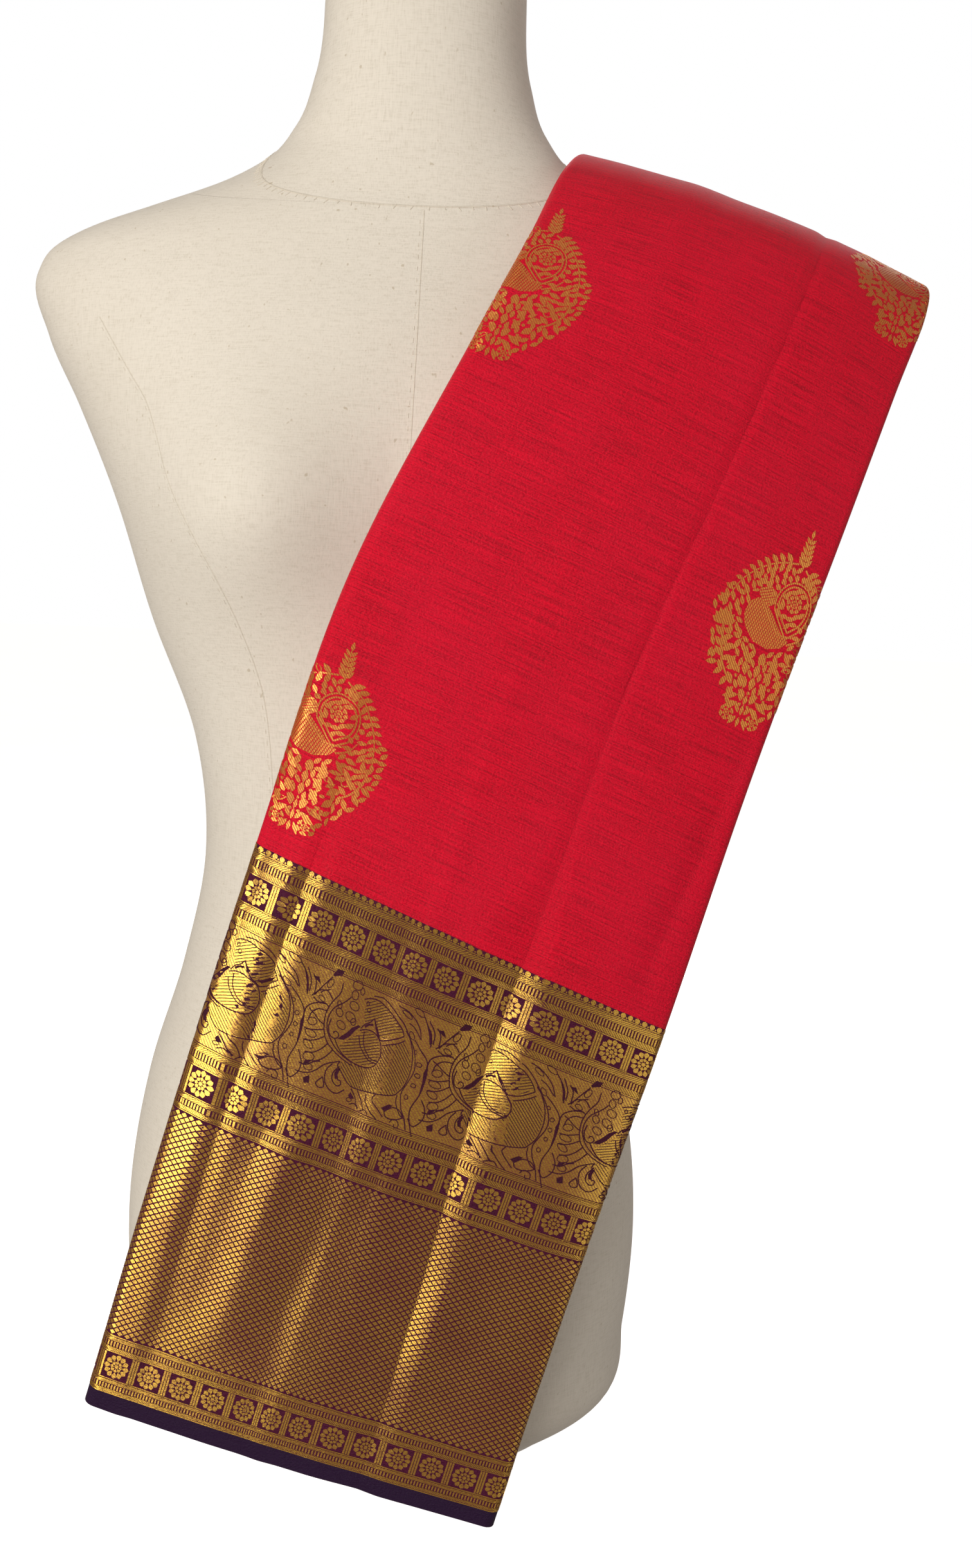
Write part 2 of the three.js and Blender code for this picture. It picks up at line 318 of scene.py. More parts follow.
def spaced(start, end, step):
    return np.linspace(start, end, max(2, int(math.ceil((end - start) / step)) + 1))


def joined(*parts):
    return np.concatenate([parts[0]] + [p[1:] for p in parts[1:]])


# Where the columns of points stand round the outer turn, closest at folds and creases.
ROUND_U = joined(spaced(OPEN_LEFT, -15, 6), spaced(-15, 7, 1.1), spaced(7, 45, 2),
                 spaced(45, 75, 2.5), spaced(75, 100, 1.8), spaced(100, 118, 2.5),
                 spaced(118, 152, 1.4), spaced(152, 199, 2.5), spaced(199, 221, 1.1),
                 spaced(221, OPEN_RIGHT, 6))


# ---- materials ---------------------------------------------------------------------------

class Nodes:
    """A short way to write a material's nodes."""

    def __init__(self, name):
        self.material = bpy.data.materials.new(name)
        self.material.use_nodes = True
        self.tree = self.material.node_tree
        self.shader = self.tree.nodes["Principled BSDF"]

    def add(self, kind, **settings):
        node = self.tree.nodes.new(kind)
        for key, value in settings.items():
            if hasattr(node, key):
                setattr(node, key, value)
            else:
                node.inputs[key.replace("_", " ").title()].default_value = value
        return node

    def link(self, output, target):
        self.tree.links.new(output, target)

    def place(self, scale, attribute="cloth"):
        """Cloth coordinates, or object coordinates, stretched by scale."""
        if attribute:
            source = self.add("ShaderNodeAttribute", attribute_name=attribute).outputs["Vector"]
        else:
            source = self.add("ShaderNodeTexCoord").outputs["Object"]
        mapping = self.add("ShaderNodeMapping")
        mapping.inputs["Scale"].default_value = scale
        self.link(source, mapping.inputs["Vector"])
        return mapping.outputs["Vector"]

    def noise(self, scale, detail=2.0, attribute="cloth", roughness=0.5):
        node = self.add("ShaderNodeTexNoise")
        node.inputs["Scale"].default_value = 1.0
        node.inputs["Detail"].default_value = detail
        node.inputs["Roughness"].default_value = roughness
        self.link(self.place(scale, attribute), node.inputs["Vector"])
        return node.outputs["Fac"]

    def wave(self, scale, direction="X", attribute="cloth", distortion=0.0):
        node = self.add("ShaderNodeTexWave", bands_direction=direction)
        node.inputs["Scale"].default_value = 1.0
        node.inputs["Distortion"].default_value = distortion
        self.link(self.place(scale, attribute), node.inputs["Vector"])
        return node.outputs["Fac"]

    def ramp(self, value, *stops):
        node = self.add("ShaderNodeValToRGB")
        ramp = node.color_ramp
        while len(ramp.elements) < len(stops):
            ramp.elements.new(0.5)
        for element, (place, color) in zip(ramp.elements, stops):
            element.position = place
            element.color = (*color, 1.0)
        self.link(value, node.inputs["Fac"])
        return node.outputs["Color"]

    def mix(self, factor, a, b, mode="MIX"):
        node = self.add("ShaderNodeMix", data_type="RGBA", blend_type=mode)
        for socket, value in ((node.inputs[0], factor), (node.inputs[6], a), (node.inputs[7], b)):
            if hasattr(value, "is_linked"):
                self.link(value, socket)
            elif isinstance(value, (int, float)):
                socket.default_value = value
            else:
                socket.default_value = (*value, 1.0)
        return node.outputs[2]

    def math(self, operation, a, b=0.0):
        node = self.add("ShaderNodeMath", operation=operation)
        for socket, value in zip(node.inputs, (a, b)):
            if hasattr(value, "is_linked"):
                self.link(value, socket)
            else:
                socket.default_value = value
        return node.outputs[0]

    def bump(self, height, distance, strength=1.0, after=None):
        node = self.add("ShaderNodeBump")
        node.inputs["Strength"].default_value = strength
        node.inputs["Distance"].default_value = distance
        self.link(height, node.inputs["Height"])
        if after is not None:
            self.link(after, node.inputs["Normal"])
        return node.outputs["Normal"]


def srgb(r, g, b):
    turn = lambda c: c / 12.92 if c <= 0.04045 else ((c + 0.055) / 1.055) ** 2.4
    return tuple(turn(c / 255) for c in (r, g, b))


def scaled(color, factor):
    return tuple(c * factor for c in color)


def silk(name, color, edge, sheen=0.25, roughness=0.45, slub=0.07, hem=None):
    """Plain-woven silk: fine threads both ways, slubs, and a soft broad mottle.
    hem is the colour of the plain selvedge at the front hem."""
    n = Nodes(name)
    weft = n.noise((0.03, 1.5, 1), 3, roughness=0.65)
    warp = n.noise((1.6, 0.05, 1), 2, roughness=0.6)
    grain = n.noise((0.95, 1.1, 1), 3, roughness=0.65)
    broad = n.noise((0.018, 0.014, 1), 2)
    threads = n.math("ADD", n.math("MULTIPLY", weft, 0.5),
                     n.math("ADD", n.math("MULTIPLY", warp, 0.12), n.math("MULTIPLY", grain, 0.38)))
    tone = n.ramp(threads, (0.4, scaled(color, 1 - slub * 5)), (0.5, color),
                  (0.6, scaled(color, 1 + slub * 3.5)))
    color_out = n.mix(n.ramp(broad, (0.4, (0, 0, 0)), (0.65, (0.22,) * 3)), tone, edge)
    if hem:
        split = n.add("ShaderNodeSeparateXYZ")
        n.link(n.place((1, 1 / SELVEDGE, 1)), split.inputs[0])
        inside = n.math("LESS_THAN", split.outputs["Y"], 1.0)
        color_out = n.mix(inside, color_out, hem)
    n.link(color_out, n.shader.inputs["Base Color"])
    rough = n.math("ADD", n.math("MULTIPLY", threads, 0.25), roughness - 0.125)
    n.link(rough, n.shader.inputs["Roughness"])
    n.shader.inputs["Specular IOR Level"].default_value = 0.18
    n.shader.inputs["Sheen Weight"].default_value = sheen
    n.shader.inputs["Sheen Roughness"].default_value = 0.4
    n.shader.inputs["Sheen Tint"].default_value = (*edge, 1.0)
    fine = n.math("MULTIPLY", n.wave((1.1, 0, 0)), n.wave((0, 1.1, 0), "Y"))
    first = n.bump(grain, 0.0007, 1.0, n.bump(threads, 0.0003, 1.0))
    n.link(n.bump(fine, 0.00005, 0.5, first), n.shader.inputs["Normal"])
    return n.material


def zari(name, color, dark, core, roughness=0.3, slant=0.0, binding=0.26):
    """Gold thread laid across over a coloured core that shows between its turns.
    slant adds lines of slanting binding stitches, so many to 0.44 mm, and binding
    is how broad they are."""
    n = Nodes(name)
    threads = n.wave((0.45, 1.0, 0), "Y", distortion=0.4)
    uneven = n.noise((0.7, 2.2, 1), 3, roughness=0.65)
    broad = n.noise((0.03, 0.03, 1), 2)
    mixed = n.math("ADD", n.math("MULTIPLY", uneven, 0.7), n.math("MULTIPLY", threads, 0.3))
    tone = n.ramp(mixed, (0.3, dark), (0.5, color), (0.72, scaled(color, 1.15)))
    tone = n.mix(n.ramp(broad, (0.35, (0, 0, 0)), (0.7, (0.3,) * 3)), tone, dark)
    gap = n.ramp(mixed, (0.34, (1, 1, 1)), (0.47, (0, 0, 0)))
    if slant:
        lines = n.wave((slant, slant, 0), "DIAGONAL", distortion=0.5)
        stitches = n.ramp(lines, (0.03, (0.9,) * 3), (binding, (0, 0, 0)))
        gap = n.mix(1.0, gap, stitches, "LIGHTEN")
    n.link(n.mix(gap, tone, core), n.shader.inputs["Base Color"])
    n.link(n.math("SUBTRACT", 1.0, gap), n.shader.inputs["Metallic"])
    n.link(n.math("ADD", n.math("MULTIPLY", uneven, 0.26), roughness - 0.13),
           n.shader.inputs["Roughness"])
    n.shader.inputs["Specular IOR Level"].default_value = 0.3
    first = n.bump(threads, 0.00006, 0.6)
    n.link(n.bump(uneven, 0.0001, 0.6, first), n.shader.inputs["Normal"])
    return n.material


def linen_cloth(name, color, shade):
    """Fine plain-woven linen with slubs both ways and a few specks."""
    n = Nodes(name)
    scale = 1000
    across = n.noise((0.16 * scale, 0.16 * scale, 1.7 * scale), 3, None, 0.6)
    upright = n.noise((1.6 * scale, 1.6 * scale, 0.15 * scale), 3, None, 0.6)
    broad = n.noise((0.012 * scale,) * 3, 2, None)
    specks = n.noise((0.35 * scale, 0.35 * scale, 0.28 * scale), 1, None)
    weave = n.math("ADD", n.math("MULTIPLY", across, 0.5), n.math("MULTIPLY", upright, 0.5))
    tone = n.ramp(weave, (0.35, shade), (0.5, color), (0.66, scaled(color, 1.05)))
    tone = n.mix(n.ramp(broad, (0.35, (0, 0, 0)), (0.7, (0.25,) * 3)), tone, shade)
    tone = n.mix(n.ramp(specks, (0.74, (0, 0, 0)), (0.8, (0.5,) * 3)), tone, srgb(168, 150, 120))
    n.link(tone, n.shader.inputs["Base Color"])
    n.shader.inputs["Roughness"].default_value = 0.92
    n.shader.inputs["Specular IOR Level"].default_value = 0.2
    n.shader.inputs["Sheen Weight"].default_value = 0.15
    first = n.bump(weave, 0.00022, 0.8)
    rows = n.wave((0, 0, 0.62 * scale), "Z", None)
    n.link(n.bump(rows, 0.00004, 0.4, first), n.shader.inputs["Normal"])
    return n.material


def wood(name):
    n = Nodes(name)
    grain = n.noise((12, 260, 260), 4, None, 0.6)
    n.link(n.ramp(grain, (0.35, srgb(186, 170, 148)), (0.65, srgb(216, 204, 186))),
           n.shader.inputs["Base Color"])
    n.shader.inputs["Roughness"].default_value = 0.5
    n.link(n.bump(grain, 0.0002, 0.4), n.shader.inputs["Normal"])
    return n.material


red_silk = silk("red_silk", srgb(209, 1, 38), srgb(220, 14, 54), 0.04, slub=0.08)
# inner_silk is the saree's own red silk painted darker: painted shade for the hidden layers inside
# the folded stack.
inner_silk = silk("inner_silk", srgb(150, 8, 26), srgb(180, 30, 50))
ground_silk = silk("border_ground", srgb(72, 8, 42), srgb(86, 16, 54), 0.02, 0.5,
                   hem=srgb(38, 12, 46))
purple_silk = silk("purple_silk", srgb(42, 12, 50), srgb(60, 26, 70), 0.03, 0.45)
outline_silk = silk("outline_silk", srgb(60, 12, 34), srgb(80, 26, 52), 0.05, 0.6)
GOLD, GOLD_SHADE, GOLD_CORE = srgb(240, 194, 78), srgb(160, 90, 70), srgb(100, 24, 42)
border_gold = zari("border_gold", GOLD, GOLD_SHADE, GOLD_CORE, 0.27)
figure_gold = zari("figure_gold", GOLD, GOLD_SHADE, GOLD_CORE, 0.27, slant=0.34)
motif_gold = zari("motif_gold", srgb(244, 186, 84), srgb(204, 122, 54), srgb(176, 14, 28), 0.36,
                  slant=0.42, binding=0.55)
linen = linen_cloth("linen", srgb(219, 211, 197), srgb(206, 197, 181))
thread = linen_cloth("thread", srgb(209, 200, 184), srgb(192, 181, 163))
foot_wood = wood("foot_wood")


def finish_piece(obj, material, slot, *nodes):
    obj.data.materials.append(material)
    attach(obj, "root")
    if nodes:
        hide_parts(*nodes)
    return obj


# ---- woven pattern -------------------------------------------------------------------------

# Where some of the rosettes stand across the front, at the top row and at the lower ones.
# The places were measured.
ROSETTES = np.array([[0, 8.4, 11], [4, 69, 75], [5, 83.4, 88], [6, 98.4, 102], [12, 199, 201]])
PITCH = 16.2


def to_u(p, v):
    """Turns a place counted in rosettes into u."""
    p, v = np.asarray(p, float), np.asarray(v, float)
    places = []
    for column in (1, 2):
        knots = ROSETTES[:, column]
        inside = np.interp(p, ROSETTES[:, 0], knots)
        places.append(inside + np.minimum(p, 0) * PITCH + np.maximum(p - 12, 0) * PITCH)
    s = smoothstep(v, 170, 250)
    return places[1] * (1 - s) + places[0] * s


P_LEFT = (OPEN_LEFT - 11) / PITCH + 0.1
P_RIGHT = 12 + (OPEN_RIGHT - 201) / PITCH - 0.1


def on_cloth(points):
    u = np.asarray(points)[..., 0]
    return u.min() > OPEN_LEFT + 0.6 and u.max() < OPEN_RIGHT - 0.6


class Weave:
    """Collects flat shapes in u, v and raises them off the cloth as thin solids."""

    def __init__(self, lift=0.13, fold_lift=0.10):
        self.shapes = {}
        self.lift, self.fold_lift = lift, fold_lift

    def polygon(self, points):
        """A convex polygon of u, v points."""
        points = np.asarray(points, float)
        if not on_cloth(points):
            return
        x, y = points[:, 0], points[:, 1]
        if np.sum(x * np.roll(y, -1) - y * np.roll(x, -1)) < 0:
            points = points[::-1]
        self.shapes.setdefault(("polygon", len(points)), []).append(points)

    def strip(self, lefts, rights):
        """A band between two lines of as many points."""
        if not (on_cloth(lefts) and on_cloth(rights)):
            return
        self.shapes.setdefault(("strip", len(lefts)), []).append(np.stack([lefts, rights], 1))

    def surface(self, uv, below=False):
        u, v = uv[..., 0], uv[..., 1]
        on_fold = np.maximum(smoothstep(10 - u, 0, 6), smoothstep(u - (WIDTH - 10), 0, 6))
        depth = self.lift + self.fold_lift * on_fold
        return cloth_point(u, v, np.full(u.shape, -0.22) if below else depth)

    def build(self, name):
        points, faces, cloth, start = [], [], [], 0
        for (kind, size), shapes in sorted(self.shapes.items()):
            uv = np.array(shapes)
            top = self.surface(uv).reshape(-1, 3)
            below = self.surface(uv, True).reshape(-1, 3)
            n = len(top)
            points += [top, below]
            cloth += [uv.reshape(-1, 2)] * 2
            if kind == "polygon":
                first = np.arange(len(shapes))[:, None] * size + np.arange(size)[None, :] + start
                following = np.roll(first, -1, axis=1)
                faces += first.tolist() + (first[:, ::-1] + n).tolist()
                sides = np.stack([following, first, first + n, following + n], -1).reshape(-1, 4)
                faces += sides.tolist()
            else:
                base = np.arange(len(shapes))[:, None] * 2 * size + start
                k = np.arange(size - 1)[None, :]
                l0, r0 = base + 2 * k, base + 2 * k + 1
                l1, r1 = l0 + 2, r0 + 2
                quads = [(r0, r1, l1, l0), (l0 + n, l1 + n, r1 + n, r0 + n),
                         (l0, l1, l1 + n, l0 + n), (r1, r0, r0 + n, r1 + n)]
                for quad in quads:
                    faces += np.stack(quad, -1).reshape(-1, 4).tolist()
                a, b = base[:, 0], base[:, 0] + 1
                c, d = a + 2 * size - 2, a + 2 * size - 1
                faces += np.stack([b, a, a + n, b + n], -1).tolist()
                faces += np.stack([c, d, d + n, c + n], -1).tolist()
            start += 2 * n
        return add_mesh(name, np.vstack(points), faces, np.vstack(cloth), sharp=35)


class Motif:
    """Draws small shapes about a place, in millimetres right and up of it."""

    def __init__(self, weave, place, size=1.0):
        self.weave, self.place, self.size = weave, place, size
        self.taken = []

    def __call__(self, points):
        points = np.asarray(points, float) * self.size
        return self.place(points[..., 0], points[..., 1])

    def polygon(self, points):
        self.weave.polygon(self(points))
        spread = np.ptp(points, axis=0).min() / 2
        self.taken += [(x, y, 0.0) for x, y in np.asarray(points)[::2]]
        self.taken.append((*np.mean(points, axis=0), min(spread, 1.2) * 0.6))

    def patch(self, points):
        """Any outline, filled with triangles."""
        points = [Vector((x, y, 0)) for x, y in points]
        for corners in tessellate_polygon([points]):
            self.polygon([points[i][:2] for i in corners])

    def leaf(self, x, y, angle, length, width, points=8, full=0.45):
        """A pointed leaf that starts at x, y. full is where it is widest."""
        s = np.linspace(0, 1, points // 2 + 1)
        fall = np.cos(math.pi / 2 * np.clip((s - full) / (1 - full), 0, 1))
        shape = np.where(s < full, np.sin(math.pi / 2 * s / full), np.clip(fall, 0, 1) ** 0.85)
        side = np.maximum(shape, 0.06) * width / 2
        c, n = math.cos(math.radians(angle)), math.sin(math.radians(angle))
        along = s * length
        upper = np.stack([x + along * c - side * n, y + along * n + side * c], -1)
        lower = np.stack([x + along * c + side * n, y + along * n - side * c], -1)
        self.polygon(np.vstack([lower, upper[::-1]]))

    def dot(self, x, y, radius, points=8):
        a = np.arange(points) * 2 * math.pi / points
        self.polygon(np.stack([x + radius * np.cos(a), y + radius * np.sin(a)], -1))

    def line(self, points, width, taper=1.0, closed=False):
        """A ribbon of even or tapering width along points."""
        points = np.asarray(points, float)
        if closed:
            points = np.vstack([points, points[:1]])
        run = np.gradient(points, axis=0)
        if closed:
            run[0] = run[-1] = points[1] - points[-2]
        run = unit(run)
        side = np.stack([-run[:, 1], run[:, 0]], -1)
        w = width / 2 * np.linspace(1, taper, len(points))[:, None]
        self.taken += [(x, y, 0.0) for x, y in points]
        lefts, rights = points + side * w, points - side * w
        self.weave.strip(self(lefts), self(rights))

    def ring(self, x, y, radius, width, points=16, squash=1.0, turn=0.0):
        a = np.linspace(0, 2 * math.pi, points, endpoint=False)
        ox, oy = radius * np.cos(a), radius * squash * np.sin(a)
        c, s = math.cos(math.radians(turn)), math.sin(math.radians(turn))
        self.line(np.stack([x + ox * c - oy * s, y + ox * s + oy * c], -1), width, closed=True)

    def scroll(self, x, y, radius, start, turns, width, points=14, end=0.25):
        """A spiral that winds in from radius to end times radius."""
        s = np.linspace(0, 1, points)
        a = math.radians(start) + s * turns * 2 * math.pi
        r = radius * (1 - s * (1 - end))
        self.line(np.stack([x + r * np.cos(a), y + r * np.sin(a)], -1), width, 0.5)

    def hatch(self, outline, angle=45.0, pitch=1.25, gap=0.3):
        """Fills an outline with slanting threads."""
        outline = np.asarray(outline, float)
        t = math.radians(angle)
        along, over = np.array([math.cos(t), math.sin(t)]), np.array([-math.sin(t), math.cos(t)])
        a, b = outline @ along, outline @ over

        def spans(level):
            cuts = []
            for i in range(len(a)):
                j = (i + 1) % len(a)
                if (b[i] - level) * (b[j] - level) < 0:
                    cuts.append(a[i] + (a[j] - a[i]) * (level - b[i]) / (b[j] - b[i]))
            cuts.sort()
            return list(zip(cuts[::2], cuts[1::2]))

        level = b.min() + 0.15
        while level < b.max() - 0.3:
            top = min(level + pitch - gap, b.max() - 0.05)
            lower, upper = spans(level), spans(top)
            if len(lower) != len(upper):
                lower = upper = spans((level + top) / 2)
            if lower:
                for (s0, e0), (s1, e1) in zip(lower, upper):
                    if max(e0 - s0, e1 - s1) > 0.5:
                        parts = max(2, int((e0 - s0) / 3.5) + 2)
                        f = np.linspace(0, 1, parts)[:, None]
                        low = (s0 + (e0 - s0) * f) * along + level * over
                        high = (s1 + (e1 - s1) * f) * along + top * over
                        self.taken += [(x, y, 0.8) for x, y in low]
                        self.weave.strip(self(high), self(low))
            level += pitch

    def spray(self, stem, count, length, width, spread=50.0, line=0.6, tip=True):
        """A stem with pairs of leaves along it."""
        stem = curve(stem, 12)
        self.line(stem, line, 0.6)
        run = np.gradient(stem, axis=0)
        for k in range(count):
            i = int(round((k + 0.5) / count * (len(stem) - 2)))
            heading = math.degrees(math.atan2(run[i, 1], run[i, 0]))
            size = 1.0 - 0.35 * k / max(1, count)
            for side in (1, -1):
                self.leaf(*stem[i], heading + side * spread, length * size, width * size, 6)
        if tip:
            heading = math.degrees(math.atan2(run[-1, 1], run[-1, 0]))
            self.leaf(*stem[-1], heading, length * 0.8, width * 0.8, 6)

    def rosette(self, x, y, radius, petals):
        """A round flower: outer petals, a ring of small ones and an eye."""
        def around(count, low, high, share, points):
            for k in range(count):
                angle = 360 * k / count + 90
                c, s = math.cos(math.radians(angle)), math.sin(math.radians(angle))
                width = share * 2 * math.pi * radius * (0.35 * low + 0.65 * high) / count
                self.leaf(x + radius * low * c, y + radius * low * s, angle,
                          radius * (high - low), width, points, 0.66)
        around(petals, 0.5, 1.0, 0.94, 8)
        around(max(6, petals * 2 // 3), 0.2, 0.49, 0.95, 6)
        self.dot(x, y, radius * 0.17, 6)


def curve(points, count):
    """Points along a smooth line through the given ones."""
    points = np.asarray(points, float)
    place = np.arange(len(points), dtype=float)
    rows = np.column_stack([place, points])
    return row_at(rows, np.linspace(0, len(points) - 1, count))


def hatch_row(weave, low, high, lean, count=11):
    """A row of slanting gold threads. lean is how far each one leans, in rosettes."""
    step = 1 / count
    k = np.arange(P_LEFT, P_RIGHT, step)
    s = np.array([0.0, 0.5, 1.0])
    v = low + (high - low) * s
    for p in k:
        left = to_u(p + lean * s, v)
        right = to_u(p + lean * s + step * 0.76, v)
        weave.strip(np.stack([left, v], -1), np.stack([right, v], -1))


def dash_row(weave, low, high, count=11, share=0.52):
    for p in np.arange(P_LEFT, P_RIGHT, 1 / count):
        u0, u1 = to_u(p, low), to_u(p + share / count, low)
        weave.polygon([(u0, low), (u1, low), (u1, high), (u0, high)])


def thin_row(weave, low, high, step=0.25):
    """A plain gold line round the band."""
    p = np.arange(P_LEFT, P_RIGHT, step / 2)
    for start in range(0, len(p) - 1, 6):
        part = p[start:start + 7]
        if len(part) > 1:
            upper = np.stack([to_u(part, high), np.full(len(part), high)], -1)
            lower = np.stack([to_u(part, low), np.full(len(part), low)], -1)
            weave.strip(upper, lower)


def chevron(weave, low, high, leans=(-0.2, 0.2), dash=0.3):
    """Two rows of slanting threads with a row of dashes between them."""
    depth = high - low
    edge = 0.35
    d0, d1 = low + depth * (0.5 - dash / 2), low + depth * (0.5 + dash / 2)
    hatch_row(weave, low + edge + 0.45, d0 - 0.25, leans[0])
    dash_row(weave, d0, d1)
    hatch_row(weave, d1 + 0.25, high - edge - 0.45, leans[1])
    thin_row(weave, low + 0.1, low + edge + 0.2)
    thin_row(weave, high - edge - 0.2, high - 0.1)


def in_rosettes(p0, v0):
    """A motif's place, so that it follows the rosettes' spacing."""
    return lambda x, y: np.stack([to_u(p0 + x / PITCH, v0 + y), v0 + y], -1)


def rosette_row(weave, low, high):
    middle, radius = (low + high) / 2, (high - low) / 2 - 0.35
    for k in range(math.ceil(P_LEFT), math.floor(P_RIGHT) + 1):
        Motif(weave, in_rosettes(k, middle)).rosette(0, 0, radius, 12)
    for k in range(math.ceil(P_LEFT), math.floor(P_RIGHT)):
        for bar in (-1.25, 0, 1.25):
            p = k + 0.5 + bar / PITCH
            u0, u1 = to_u(p - 0.45 / PITCH, middle), to_u(p + 0.45 / PITCH, middle)
            weave.polygon([(u0, low + 0.2), (u1, low + 0.2), (u1, high - 0.2), (u0, high - 0.2)])


def lattice(weave, low, high, per_rosette=4.4, rows=38, share=0.74):
    """Gold diamonds between thin crossing lines of the ground."""
    step = (high - low) / rows
    for r in range(2 * rows - 1):
        v = low + step * (r + 1) / 2
        offset = 0.5 * (r % 2) / per_rosette
        for p in np.arange(P_LEFT + offset, P_RIGHT, 1 / per_rosette):
            half_p, half_v = 0.5 * share / per_rosette, 0.5 * share * step
            u_left, u_right = to_u(p - half_p, v), to_u(p + half_p, v)
            u = to_u(p, v)
            weave.polygon([(u_left, v), (u, v - half_v), (u_right, v), (u, v + half_v)])


def bud_row(weave, low, high):
    depth = high - low
    for p in np.arange(P_LEFT, P_RIGHT, 3.72 / PITCH):
        m = Motif(weave, in_rosettes(p, low))
        m.dot(0, depth - 1.35, 1.3)
        m.leaf(0.2, 0.15, 52, 1.7, 0.8, 6)
        m.leaf(-0.2, 0.15, 128, 1.7, 0.8, 6)
        m.dot(1.86, 0.6, 0.42, 6)


